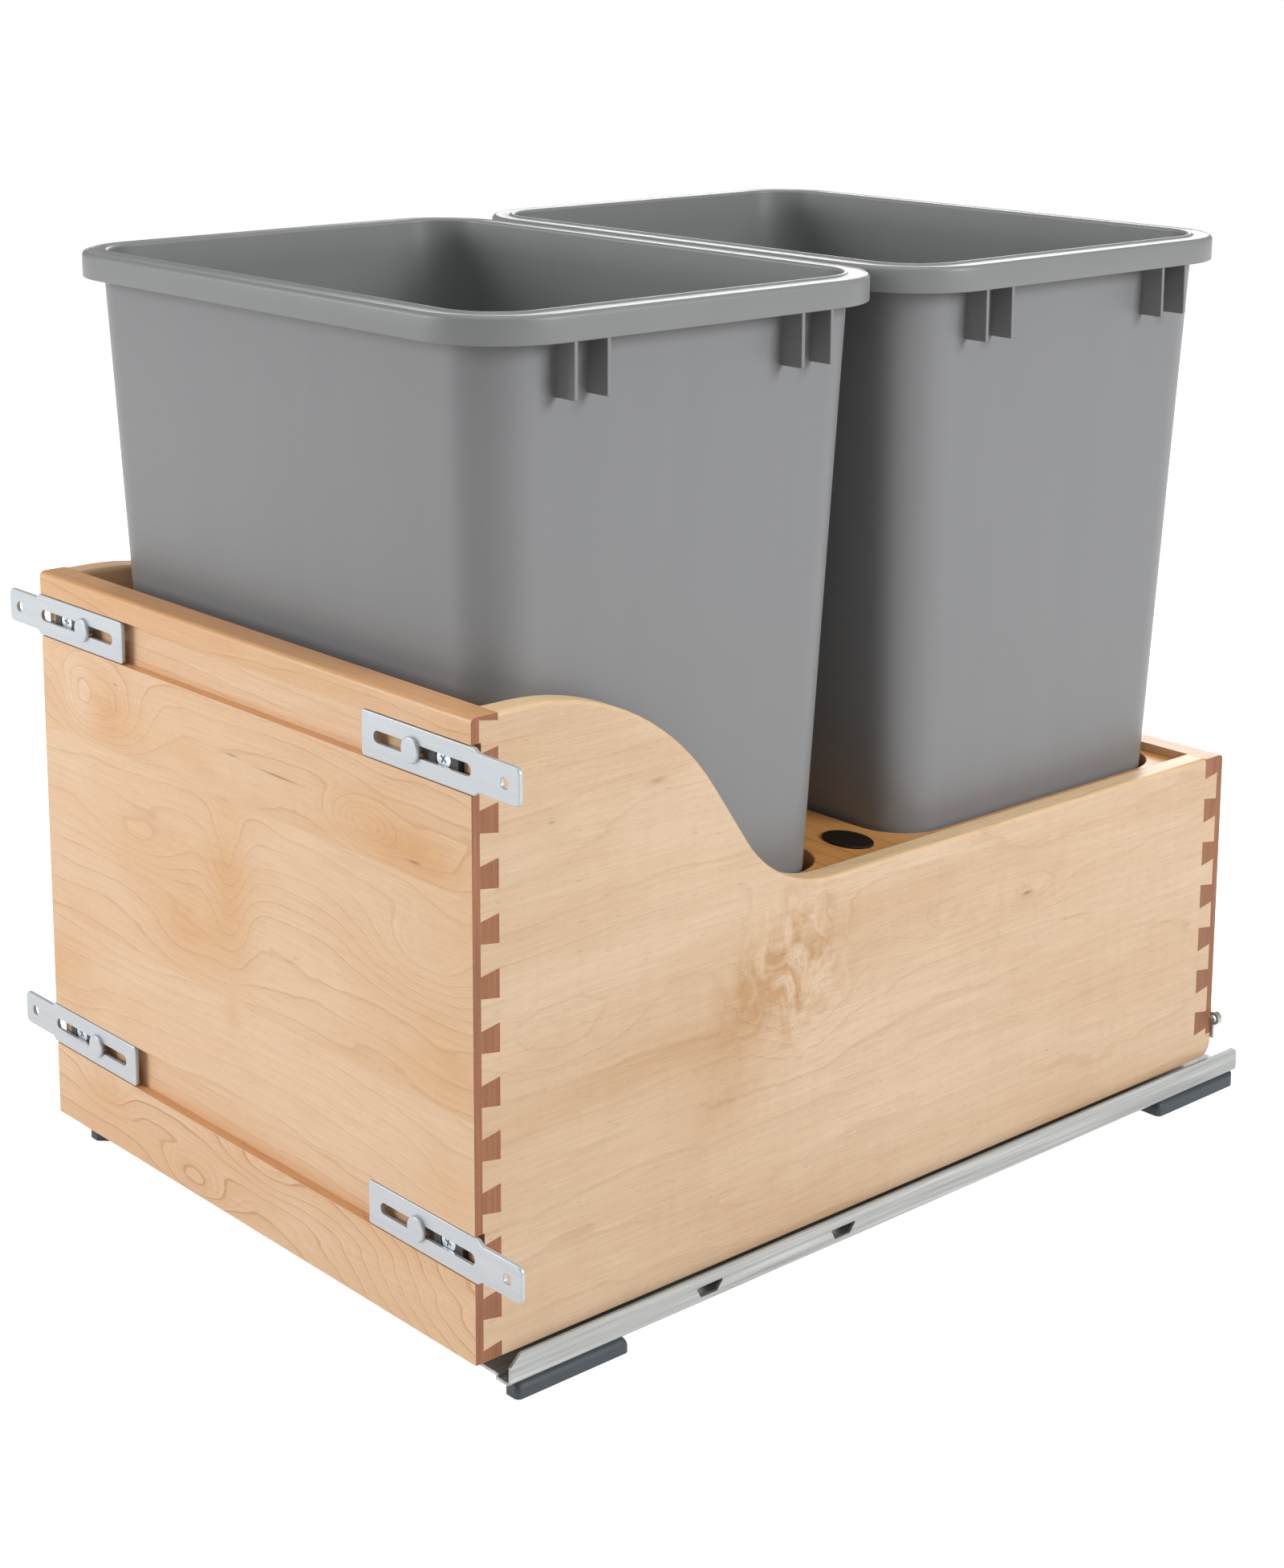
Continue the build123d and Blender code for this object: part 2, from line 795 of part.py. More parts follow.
def drawer_member():
    """The inverted channel under the box, with a hook and pin behind the back panel."""
    t = sheet_t
    y = (member_front, box_depth)
    rear = box_depth + t
    body = block((member_in, member_in + t), y, (member_low, bottom_z))
    body += block((member_out - t, member_out), y, (member_low, bottom_z))
    body += block((member_in, member_out), (member_front, rear), (member_inner_top, bottom_z))
    body += block(around(hook_x, hook_w / 2), (box_depth, rear), (member_inner_top, hook_top))
    body += hook_pin()
    notch = block(
        (member_in - beyond, member_in + t + beyond),
        (nose_y[0] - notch_gap_y, nose_y[1] + notch_gap_y),
        (lever_z[0] - notch_gap_z, lever_z[1] + notch_gap_z),
    )
    return body - notch


def roller_places(y):
    return [y - roller_span / 2 + roller_pitch * number for number in range(roller_count)]


def rollers(y, z, r):
    """A row of rollers across the slide, each with its pin."""
    group = []
    for place in roller_places(y):
        body = rod_x(place, z, around(slide_x, roller_half), r)
        body += rod_x(place, z, around(slide_x, cage_half_x - roller_pin_gap), roller_pin_r)
        group.append(body)
    return Compound(children=group)


def cage(y, z, r):
    """The plastic ladder that keeps the rollers apart."""
    body = block(around(slide_x, cage_half_x), around(y, cage_len / 2), around(z, r - cage_low_by))
    for place in roller_places(y):
        body -= block(around(slide_x, roller_half + run_gap), around(place, r + roller_room), around(z, r))
        body -= rod_x(place, z, around(slide_x, cage_half_x - roller_pin_gap), roller_pin_r)
    return body


# ---------------------------------------------------------------- rear tabs
def tab_screws():
    """The two screws of the right rear tab and their mirror pieces."""
    seat = box_depth + tab_t
    group = []
    for z in tab_screw_z:
        head = rod_y(tab_screw_x, z, (seat, seat + tab_head_h), tab_head_r)
        head = fillet(head.edges().group_by(Axis.Y)[-1], tab_head_round)
        screw = head + rod_y(tab_screw_x, z, (inner_back + tab_screw_wall, seat), tab_screw_r)
        screw -= cross_recess(tab_screw_x, seat + tab_head_h, z, tab_recess)
        group += both_sides(screw)
    return group


def rear_tab():
    """A bent plate on the back panel whose ear stands out past the side."""
    y = (box_depth, box_depth + tab_t)
    boss_y = (box_depth, box_depth + tab_boss_t)
    ear_z = around(tab_hole_z, tab_end_r)
    body = block((tab_screw_x - tab_margin, tab_hole_x - 4), y, (ear_z[0], tab_top))
    body = fillet(body.edges().filter_by(Axis.Y).group_by(Axis.Z)[-1], tab_round)
    body += block((tab_hole_x - 12, tab_hole_x), y, (tab_hole_z - 11.8, ear_z[1]))
    body += block((tab_hole_x - 10, tab_hole_x), boss_y, ear_z)
    body += rod_y(tab_hole_x, tab_hole_z, boss_y, tab_end_r)
    body -= rod_y(tab_hole_x, tab_hole_z, (boss_y[0] - beyond, boss_y[1] + beyond), tab_hole_r)
    for z in tab_screw_z:
        body -= rod_y(tab_screw_x, z, (y[0] - beyond, y[1]), tab_screw_r)
    return body


# ---------------------------------------------------------------- locking devices
def lock_screws():
    """The screws that hold both locking devices to the bottom panel."""
    group = []
    for x in around(lock_mid, lock_screw_half):
        head = rod_z(x, lock_screw_y, (lock_plate_z - lock_head_h, lock_plate_z), lock_head_r)
        head = fillet(head.edges().group_by(Axis.Z)[0], lock_head_round)
        shank = rod_z(x, lock_screw_y, (lock_plate_z, bottom_z + lock_screw_bite), lock_screw_r)
        group += both_sides(head + shank)
    return group


def lock_housing():
    """The plate under the box with the lever's pivot boss and a guard wall."""
    body = block(lock_x, lock_y, (lock_plate_z, bottom_z))
    body += rod_z(lock_mid, lever_y, (cap_z[1] - cap_bite, lock_plate_z), lever_boss_r)
    body += rod_z(lock_mid, lever_y, cap_z, cap_r)
    guard_y = (lock_y[1] - guard_len, lock_y[1])
    body += block((lock_x[0], lock_x[0] + guard_t), guard_y, (guard_low, lock_plate_z))
    for screw in lock_screws():
        body -= screw
    return body


def lock_lever():
    """A flat lever on the boss, with a nose that enters the drawer member's notch."""
    body = block(around(lock_mid, lever_half), (lever_front, lever_y), lever_z)
    body += rod_z(lock_mid, lever_y, lever_z, lever_eye_r)
    body += block((lock_mid, nose_reach), nose_y, lever_z)
    body += block(around(lock_mid, grip_half), grip_y, (grip_low, lever_z[1]))
    bore = rod_z(lock_mid, lever_y, (lever_z[0] - beyond, lever_z[1] + beyond), lever_boss_r + run_gap)
    return body - bore


# ---------------------------------------------------------------- all nodes
def pair(name, part):
    """The right piece and its mirror piece, under their two names."""
    return {name + "_right": part, name + "_left": left_of(part)}


def nodes():
    pieces = {
        "front_panel": front_panel(),
        "back_panel": back_panel(),
        "bottom_panel": bottom_panel(),
        "bin_holder_panel": bin_holder_panel(),
        "oval_plate": oval_plate(),
        "bin_front": bin_body(front_bin_y),
        "bin_rear": bin_body(rear_bin_y),
        "bracket_shoulder_screws": bracket_group(guide_screw),
        "bracket_clamp_blocks": bracket_group(clamp_block),
        "bracket_clamp_screws": bracket_group(clamp_screw),
        "rail_foot_rivets": foot_rivets(),
        "rear_tab_screws": Compound(children=tab_screws()),
        "locking_screws": Compound(children=lock_screws()),
    }
    pieces |= pair("side_panel", side_panel())
    pieces |= pair("door_bracket_upper", door_bracket(bracket_levels[0]))
    pieces |= pair("door_bracket_lower", door_bracket(bracket_levels[1]))
    pieces |= pair("cabinet_rail", cabinet_rail())
    pieces |= pair("rail_foot_front", front_foot())
    pieces |= pair("rail_foot_rear", rear_foot())
    pieces |= pair("intermediate_member", intermediate_member())
    pieces |= pair("drawer_member", drawer_member())
    pieces |= pair("lower_cage", cage(lower_cage_y, lower_z, lower_r))
    pieces |= pair("lower_rollers", rollers(lower_cage_y, lower_z, lower_r))
    pieces |= pair("upper_cage", cage(upper_cage_y, upper_z, upper_r))
    pieces |= pair("upper_rollers", rollers(upper_cage_y, upper_z, upper_r))
    pieces |= pair("locking_housing", lock_housing())
    pieces |= pair("locking_lever", lock_lever())
    pieces |= pair("rear_tab", rear_tab())
    return pieces


def main():
    os.makedirs("parts", exist_ok=True)
    for name, piece in nodes().items():
        export_step(Pos(*to_row) * piece, "parts/" + name + ".step")


if __name__ == "__main__":
    main()
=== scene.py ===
"""Looks of a pull-out trash cabinet: a dovetailed box on slides with two bins and four door brackets."""
import logging
import math
from dataclasses import dataclass, field, replace
from enum import Enum
from typing import Iterable, Optional, Sequence

import bmesh
import bpy
from mathutils import Matrix, Vector


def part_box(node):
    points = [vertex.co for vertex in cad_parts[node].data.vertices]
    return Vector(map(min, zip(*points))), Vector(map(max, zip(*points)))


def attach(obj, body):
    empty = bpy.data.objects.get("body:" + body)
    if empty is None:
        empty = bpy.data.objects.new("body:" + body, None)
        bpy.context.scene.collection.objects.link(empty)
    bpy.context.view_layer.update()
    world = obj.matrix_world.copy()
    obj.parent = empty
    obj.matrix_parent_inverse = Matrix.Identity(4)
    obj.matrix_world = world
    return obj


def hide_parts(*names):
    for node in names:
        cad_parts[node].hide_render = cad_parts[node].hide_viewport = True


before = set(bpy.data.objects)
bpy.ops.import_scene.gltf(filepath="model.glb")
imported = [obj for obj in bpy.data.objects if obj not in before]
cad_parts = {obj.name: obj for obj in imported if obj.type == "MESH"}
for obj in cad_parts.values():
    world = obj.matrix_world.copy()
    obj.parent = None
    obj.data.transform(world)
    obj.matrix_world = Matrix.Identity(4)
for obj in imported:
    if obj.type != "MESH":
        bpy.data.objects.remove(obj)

log = logging.getLogger("trash_cabinet")
MM = 0.001
Colour = tuple[float, float, float]
Point = tuple[float, float, float]
# Rotations in radians that turn a fastener from its own +Z, and the largest random turn of a recess.
UPWARDS: Point = (0.0, 0.0, 0.0)
DOWNWARDS: Point = (math.pi, 0.0, 0.0)
TO_THE_FRONT: Point = (math.pi / 2, 0.0, 0.0)
TO_THE_BACK: Point = (-math.pi / 2, 0.0, 0.0)
SCREW_TURN = 1.4


class Side(Enum):
    """Left or right seen from the front, with the sign of its x."""

    LEFT = -1
    RIGHT = 1

    @property
    def word(self) -> str:
        """The word that ends the names of this side's nodes."""
        return self.name.lower()


class BoardAxis(Enum):
    """The axes along the grain, across the board's face and through the board."""

    FRONT = ("X", "Z", "Y")
    SIDE = ("Y", "Z", "X")
    FLAT = ("X", "Y", "Z")


# ---------------------------------------------------------------- node helpers
class Graph:
    """Adds and wires the nodes of one shader tree."""

    def __init__(self, tree: bpy.types.NodeTree) -> None:
        """Keep the tree.

        Args:
            tree: The node tree to add to.
        """
        self.tree = tree

    def add(self, kind: str, **settings: object) -> bpy.types.Node:
        """Add a node.

        Args:
            kind: The node's type name.
            **settings: Attributes to set on it.

        Returns:
            The new node.
        """
        node = self.tree.nodes.new(kind)
        for name, value in settings.items():
            setattr(node, name, value)
        return node

    def feed(self, socket: bpy.types.NodeSocket, value: object) -> None:
        """Link a socket to another socket, or give it a plain value.

        Args:
            socket: The input socket.
            value: An output socket, a number, a vector or a colour.
        """
        if isinstance(value, bpy.types.NodeSocket):
            self.tree.links.new(value, socket)
        elif isinstance(value, (tuple, list)) and socket.type == "RGBA" and len(value) == 3:
            socket.default_value = (*value, 1.0)
        else:
            socket.default_value = value

    def math(self, operation: str, *values: object, clamp: bool = False) -> bpy.types.NodeSocket:
        """Combine numbers.

        Args:
            operation: The Math node's operation.
            *values: Its inputs in order.
            clamp: Whether the result stays between 0 and 1.

        Returns:
            The value socket.
        """
        node = self.add("ShaderNodeMath", operation=operation, use_clamp=clamp)
        for socket, value in zip(node.inputs, values):
            self.feed(socket, value)
        return node.outputs[0]

    def scaled(self, vector: object, scale: Point, offset: Point = (0.0, 0.0, 0.0),
               turn: Point = (0.0, 0.0, 0.0)) -> bpy.types.NodeSocket:
        """Turn, move and stretch a position.

        Args:
            vector: The position socket.
            scale: Factors along the three axes.
            offset: Added after turning and scaling.
            turn: Rotation in radians.

        Returns:
            The new position socket.
        """
        node = self.add("ShaderNodeMapping")
        self.feed(node.inputs["Vector"], vector)
        node.inputs["Scale"].default_value = scale
        node.inputs["Location"].default_value = offset
        node.inputs["Rotation"].default_value = turn
        return node.outputs[0]

    def split(self, vector: object) -> dict[str, bpy.types.NodeSocket]:
        """Take a vector apart.

        Args:
            vector: The vector socket.

        Returns:
            Its three parts by axis letter.
        """
        node = self.add("ShaderNodeSeparateXYZ")
        self.feed(node.inputs[0], vector)
        return {letter: node.outputs[letter] for letter in "XYZ"}

    def joined(self, *values: object) -> bpy.types.NodeSocket:
        """Put a vector together.

        Args:
            *values: Its three parts.

        Returns:
            The vector socket.
        """
        node = self.add("ShaderNodeCombineXYZ")
        for socket, value in zip(node.inputs, values):
            self.feed(socket, value)
        return node.outputs[0]

    def hill(self, vector: object, centre: Point, spread: Point) -> bpy.types.NodeSocket:
        """A soft round hill, 1 at its centre and 0 far away.

        Args:
            vector: Where to measure.
            centre: The hill's place.
            spread: Its size along the three axes.

        Returns:
            The height socket.
        """
        scale = tuple(1.0 / s for s in spread)
        near = self.scaled(vector, scale, tuple(-c * s for c, s in zip(centre, scale)))
        square = self.add("ShaderNodeVectorMath", operation="DOT_PRODUCT")
        self.feed(square.inputs[0], near)
        self.feed(square.inputs[1], near)
        return self.math("EXPONENT", self.math("MULTIPLY", square.outputs["Value"], -1.0))

    def noise(self, place: object, per_metre: Point = (1.0, 1.0, 1.0), detail: float = 2.0,
              rough: float = 0.5, warp: float = 0.0, offset: Point = (0.0, 0.0, 0.0),
              turn: Point = (0.0, 0.0, 0.0)) -> bpy.types.NodeSocket:
        """Smooth noise between 0 and 1.

        Args:
            place: Where to sample.
            per_metre: Features per metre along each axis.
            detail: Octaves.
            rough: How strong the finer octaves are.
            warp: How far the noise distorts itself.
            offset: Moves the pattern.
            turn: Turns the pattern, in radians.

        Returns:
            The noise value socket.
        """
        node = self.add("ShaderNodeTexNoise")
        self.feed(node.inputs["Vector"], self.scaled(place, per_metre, offset, turn))
        node.inputs["Scale"].default_value = 1.0
        node.inputs["Detail"].default_value = detail
        node.inputs["Roughness"].default_value = rough
        node.inputs["Distortion"].default_value = warp
        return node.outputs["Fac"]

    def relief(self, shader: bpy.types.Node, height: object, strength: float, depth: float) -> None:
        """Let a height bump the surface of a Principled shader.

        Args:
            shader: The shader node.
            height: The height socket.
            strength: How strongly it shows.
            depth: How deep it is, in metres.
        """
        bump = self.add("ShaderNodeBump")
        bump.inputs["Strength"].default_value = strength
        bump.inputs["Distance"].default_value = depth
        self.feed(bump.inputs["Height"], height)
        self.feed(shader.inputs["Normal"], bump.outputs[0])

    def remap(self, value: object, low: float, high: float, to_low: float = 0.0,
              to_high: float = 1.0, smooth: bool = False) -> bpy.types.NodeSocket:
        """Stretch a range of values onto another and clamp it.

        Args:
            value: The value socket.
            low: Start of the range read.
            high: End of the range read.
            to_low: Result at low.
            to_high: Result at high.
            smooth: Whether to ease in and out.

        Returns:
            The result socket.
        """
        node = self.add("ShaderNodeMapRange", interpolation_type="SMOOTHSTEP" if smooth else "LINEAR")
        self.feed(node.inputs["Value"], value)
        self.feed(node.inputs["From Min"], low)
        self.feed(node.inputs["From Max"], high)
        self.feed(node.inputs["To Min"], to_low)
        self.feed(node.inputs["To Max"], to_high)
        return node.outputs[0]

    def blend(self, share: object, first: object, second: object, mode: str = "MIX") -> bpy.types.NodeSocket:
        """Mix two colours.

        Args:
            share: How much of the second shows.
            first: The first colour.
            second: The second colour.
            mode: The blend type.

        Returns:
            The colour socket.
        """
        node = self.add("ShaderNodeMix", data_type="RGBA", blend_type=mode, clamp_result=True)
        self.feed(node.inputs["Factor"], share)
        self.feed(node.inputs["A"], first)
        self.feed(node.inputs["B"], second)
        return next(out for out in node.outputs if out.type == "RGBA")

    def place(self, group: bpy.types.NodeTree, **values: object) -> bpy.types.Node:
        """Place a node group with its own values.

        Args:
            group: The shader node group.
            **values: Inputs by name, with underscores for spaces.

        Returns:
            The group node.
        """
        node = self.add("ShaderNodeGroup", node_tree=group)
        for name, value in values.items():
            self.feed(node.inputs[name.replace("_", " ")], value)
        return node


def linear(colour: Colour) -> Colour:
    """Turn a colour as seen on screen into the linear one that shaders take.

    Args:
        colour: Screen values between 0 and 1.

    Returns:
        The linear values.
    """
    return tuple(c / 12.92 if c <= 0.04045 else ((c + 0.055) / 1.055) ** 2.4 for c in colour)


def shader_group(name: str, inputs: dict[str, Optional[float]], outputs: Sequence[str]) -> tuple[
        bpy.types.NodeTree, Graph, bpy.types.Node, bpy.types.Node]:
    """Start a shader node group with named sockets.

    Args:
        name: The group's name.
        inputs: Input names and default values; None makes a vector input.
        outputs: The names of its value outputs.

    Returns:
        The group, its graph, its input node and its output node.
    """
    tree = bpy.data.node_groups.new(name, "ShaderNodeTree")
    for label, value in inputs.items():
        kind = "NodeSocketVector" if value is None else "NodeSocketFloat"
        socket = tree.interface.new_socket(label, in_out="INPUT", socket_type=kind)
        if value is not None:
            socket.default_value = value
    for label in outputs:
        tree.interface.new_socket(label, in_out="OUTPUT", socket_type="NodeSocketFloat")
    graph = Graph(tree)
    return tree, graph, graph.add("NodeGroupInput"), graph.add("NodeGroupOutput")


class ShaderLibrary:
    """The node groups that more than one material uses."""

    def __init__(self) -> None:
        """Build every group once."""
        self.figure = self._figure()
        self.fibre = self._fibre()
        self.mould = self._mould()
        self.rolled = self._rolled()

    @staticmethod
    def _figure() -> bpy.types.NodeTree:
        """Growth lines of a flat-sawn board, as the contours of one height field.

        Returns:
            The group, with the line mask, the broad cloudiness and the painted light and shade of curly
            grain.
        """
        wobble_share = 0.5
        faint = 0.30
        fine_per_ring = 3.0
        tree, g, given, result = shader_group(
            "growth_lines",
            {"Board": None, "Seed": 0.0, "Swing": 4.0, "Tilt": 60.0, "Rings": 0.0, "Swirl": 0.0},
            ("Line", "Cloud", "Curl"),
        )
        parts = g.split(given.outputs["Board"])
        board = g.joined(g.math("ADD", parts["X"], given.outputs["Seed"]), parts["Y"], parts["Z"])
        broad = g.noise(board, (3.6, 15.0, 15.0), rough=0.42, warp=0.35)
        wobble = g.noise(board, (26.0, 90.0, 90.0))
        curl = g.noise(board, (62.0, 44.0, 50.0), detail=2.5, warp=1.6, turn=(0.0, 0.0, 0.5))
        face = g.math("ADD", parts["Y"], parts["Z"])
        field = g.math("MULTIPLY_ADD", broad, given.outputs["Swing"], given.outputs["Rings"])
        field = g.math("MULTIPLY_ADD", face, given.outputs["Tilt"], field)
        field = g.math("MULTIPLY_ADD", wobble, wobble_share, field)
        field = g.math("MULTIPLY_ADD", curl, given.outputs["Swirl"], field)
        ring = g.math("FRACT", field)
        soft = g.remap(ring, 0.3, 1.0, to_high=faint, smooth=True)
        thin = g.remap(ring, 0.84, 0.95, smooth=True)
        fine_ring = g.math("FRACT", g.math("MULTIPLY", field, fine_per_ring))
        fine = g.remap(fine_ring, 0.5, 0.95, to_high=faint)
        patches = g.noise(board, (7.0, 26.0, 26.0), offset=(0.3, 0.2, 0.1))
        patchy = g.remap(patches, 0.36, 0.6, to_low=0.4)
        line = g.math("MAXIMUM", g.math("MAXIMUM", soft, thin), fine)
        g.feed(result.inputs["Line"], g.math("MULTIPLY", line, patchy, clamp=True))
        cloud = g.noise(board, (5.0, 16.0, 16.0), detail=3.0, warp=0.6)
        g.feed(result.inputs["Cloud"], g.remap(cloud, 0.3, 0.7))
        # Curl Sheen: painted light and shade of curly grain, from -1 to 1.
        g.feed(result.inputs["Curl"], g.remap(curl, 0.34, 0.66, to_low=-1.0))
        return tree

    @staticmethod
    def _fibre() -> bpy.types.NodeTree:
        """Fine fibres, pores and a painted cross-grain sheen along a board.

        Returns:
            The group, with fibre and pore masks and the painted sheen mask.
        """
        tree, g, given, result = shader_group("wood_fibre", {"Board": None}, ("Fibre", "Pore", "Shimmer"))
        board = given.outputs["Board"]
        fibre = g.noise(board, (28.0, 820.0, 820.0), detail=3.0, rough=0.6)
        g.feed(result.inputs["Fibre"], g.remap(fibre, 0.3, 0.7))
        pore = g.noise(board, (170.0, 1900.0, 1900.0), detail=1.0, offset=(3.1, 0.7, 1.9))
        g.feed(result.inputs["Pore"], g.remap(pore, 0.66, 0.76))
        # Painted sheen: stripes across the grain, lightened in the colour.
        shimmer = g.noise(board, (130.0, 22.0, 22.0), offset=(0.4, 2.2, 5.0))
        g.feed(result.inputs["Shimmer"], g.remap(shimmer, 0.3, 0.7))
        return tree

    @staticmethod
    def _mould() -> bpy.types.NodeTree:
        """The fine spark-eroded texture and faint flow marks of moulded plastic.

        Returns:
            The group, with a height and a streak mask.
        """
        tree, g, given, result = shader_group(
            "moulded_texture", {"Place": None, "Grain Size": 0.5}, ("Height", "Streak"))
        place = given.outputs["Place"]
        fine = g.add("ShaderNodeTexNoise")
        g.feed(fine.inputs["Vector"], place)
        g.feed(fine.inputs["Scale"], g.math("DIVIDE", 1 / MM, given.outputs["Grain Size"]))
        fine.inputs["Detail"].default_value = 2.0
        g.feed(result.inputs["Height"], fine.outputs["Fac"])
        streak = g.noise(place, (42.0, 42.0, 2.6), detail=3.0, rough=0.55)
        g.feed(result.inputs["Streak"], g.remap(streak, 0.32, 0.68))
        return tree

    @staticmethod
    def _rolled() -> bpy.types.NodeTree:
        """Rolling lines and a faint cloudiness of plated sheet steel.

        Returns:
            The group, with a line mask and a cloud mask.
        """
        clouds_per_line = 0.21
        tree, g, given, result = shader_group("rolled_sheet", {"Place": None}, ("Line", "Cloud"))
        line = g.noise(given.outputs["Place"], detail=3.0, rough=0.6)
        g.feed(result.inputs["Line"], g.remap(line, 0.3, 0.7))
        cloud = g.noise(given.outputs["Place"], (clouds_per_line,) * 3, detail=4.0, rough=0.65)
        g.feed(result.inputs["Cloud"], g.remap(cloud, 0.3, 0.7))
        return tree


@dataclass(frozen=True)
class Feature:
    """A knot, an eye or a clouded spot of a board, as a soft oval hill.

    Attributes:
        centre: Its place along and across the grain, in millimetres from the middle of the front
            panel's lower outer edge.
        spread: Its size along and across the grain, in millimetres.
        rings: How many growth lines go round it, negative for a hollow.
        tone: How far it leans to the deep colour, negative towards the pale one.
        swirl: How strongly it stirs the growth lines.
    """

    centre: tuple[float, float]
    spread: tuple[float, float]
    rings: float = 0.0
    tone: float = 0.0
    swirl: float = 0.0


@dataclass(frozen=True)
class Stave:
    """One glued strip of a solid panel.

    Attributes:
        low: Its lower edge across the grain, in millimetres.
        high: Its upper edge.
        tone: How far it leans to the deep colour, negative towards the pale one.
        seed: Moves its growth lines away from its neighbours'.
        strength: How strong its growth lines are, against the board's own.
        features: The knots and spots in it.
    """

    low: float
    high: float
    tone: float = 0.0
    seed: float = 0.0
    strength: float = 1.0
    features: tuple[Feature, ...] = ()


END_BROWN: Colour = (0.67, 0.44, 0.29)
END_STREAK: Colour = (0.50, 0.31, 0.19)


@dataclass(frozen=True)
class BoardFinish:
    """Lacquered wood.

    Attributes:
        name: The material's name.
        pale: The lightest wood colour, as seen.
        deep: The darkest cloud colour, as seen.
        line: The colour of growth lines, as seen.
        axis: Which way the board lies.
        swing: How far the growth lines wander.
        tilt: Growth lines per metre across the board.
        line_share: How strong the growth lines are.
        staves: The glued strips.
        dashes: Short dark streaks.
        shimmer: How strong the painted sheen in stripes across the grain is.
        top_share: How far faces that look up turn to the top colour, as painted light and shade.
        top: The colour of faces that look up, as seen; painted light and shade on tops and ledges.
        gloss: Roughness of the lacquer.
        cloud_share: How far clouds lean to the deep colour.
        curl_share: How far stirred grain leans to the deep or the pale colour, as painted light and shade of
            curly grain.
        swirl_lines: How much stronger growth lines get where the grain is stirred.
        fibre_share: How dark the fibres are.
        pore_share: How dark the pores are.
        end_share: How brown a curved edge gets where it cuts the fibres.
        coat: How much lacquer lies on top.
        coat_gloss: Roughness of that coat.
    """

    name: str
    pale: Colour
    deep: Colour
    line: Colour
    axis: BoardAxis
    swing: float = 4.0
    tilt: float = 60.0
    line_share: float = 0.5
    staves: tuple[Stave, ...] = (Stave(-1000.0, 1000.0),)
    dashes: tuple[Feature, ...] = ()
    shimmer: float = 0.06
    top_share: float = 0.7
    top: Colour = (0.87, 0.64, 0.415)
    gloss: float = 0.42
    cloud_share: float = 0.52
    curl_share: float = 0.17
    swirl_lines: float = 0.4
    fibre_share: float = 0.16
    pore_share: float = 0.30
    end_share: float = 0.45
    coat: float = 0.15
    coat_gloss: float = 0.25

    def make(self, library: ShaderLibrary) -> bpy.types.Material:
        """Build the material.

        Args:
            library: The shared node groups.

        Returns:
            The wood material.
        """
        material, g, shader = start_material(self.name)
        where = g.add("ShaderNodeTexCoord")
        facing = g.split(where.outputs["Normal"])
        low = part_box("front_panel")[0]
        place = g.split(g.scaled(where.outputs["Object"], (1.0, 1.0, 1.0), (0.0, -low[1], -low[2])))
        along, across, through = (place[letter] for letter in self.axis.value)
        face = g.joined(along, across, 0.0)
        board = g.joined(along, across, through)
        fibre = g.place(library.fibre, Board=board)
        colour = self._figured(g, library, board, face, across, facing)
        colour = self._marked(g, colour, face, facing)
        colour = self._fibred(g, colour, fibre)
        g.feed(shader.inputs["Base Color"], colour)
        rough = g.remap(fibre.outputs["Fibre"], 0.0, 1.0, self.gloss - 0.05, self.gloss + 0.07)
        g.feed(shader.inputs["Roughness"], rough)
        shader.inputs["Coat Weight"].default_value = self.coat
        shader.inputs["Coat Roughness"].default_value = self.coat_gloss
        height = g.math("SUBTRACT", fibre.outputs["Fibre"], fibre.outputs["Pore"])
        g.relief(shader, height, strength=0.25, depth=0.15 * MM)
        return material

    def _figured(self, g: Graph, library: ShaderLibrary, board: bpy.types.NodeSocket,
                 face: bpy.types.NodeSocket, across: bpy.types.NodeSocket,
                 facing: dict[str, bpy.types.NodeSocket]) -> bpy.types.NodeSocket:
        """The wood's colour with its clouds, growth lines, painted light and shade of curly grain, and
        painted top colour.

        Args:
            g: The material's graph.
            library: The shared node groups.
            board: The place along, across and through the board.
            face: The place on the board's face.
            across: The place across the grain.
            facing: The surface normal's parts.

        Returns:
            The colour socket.
        """
        rings, tone, swirl, seed, strength = self._staves(g, face, across)
        figure = g.place(library.figure, Board=board, Seed=seed, Swing=self.swing, Tilt=self.tilt,
                         Rings=rings, Swirl=swirl)
        lean = g.math("MULTIPLY_ADD", figure.outputs["Cloud"], self.cloud_share, tone)
        # Painted light and shade: curly grain's ridges lean to the pale or the deep colour.
        curl_sheen = g.math("MULTIPLY", figure.outputs["Curl"], swirl)
        lean = g.math("MULTIPLY_ADD", curl_sheen, self.curl_share, lean, clamp=True)
        colour = g.blend(lean, linear(self.pale), linear(self.deep))
        # Painted light and shade: faces that look up turn to the top colour.
        painted_top_light = g.remap(facing["Z"], 0.3, 0.95, to_high=self.top_share)
        colour = g.blend(painted_top_light, colour, linear(self.top))
        strength = g.math("MULTIPLY_ADD", swirl, self.swirl_lines, strength)
        strength = g.math("MULTIPLY", strength, self.line_share)
        share = g.math("MULTIPLY", figure.outputs["Line"], strength, clamp=True)
        return g.blend(share, colour, linear(self.line))

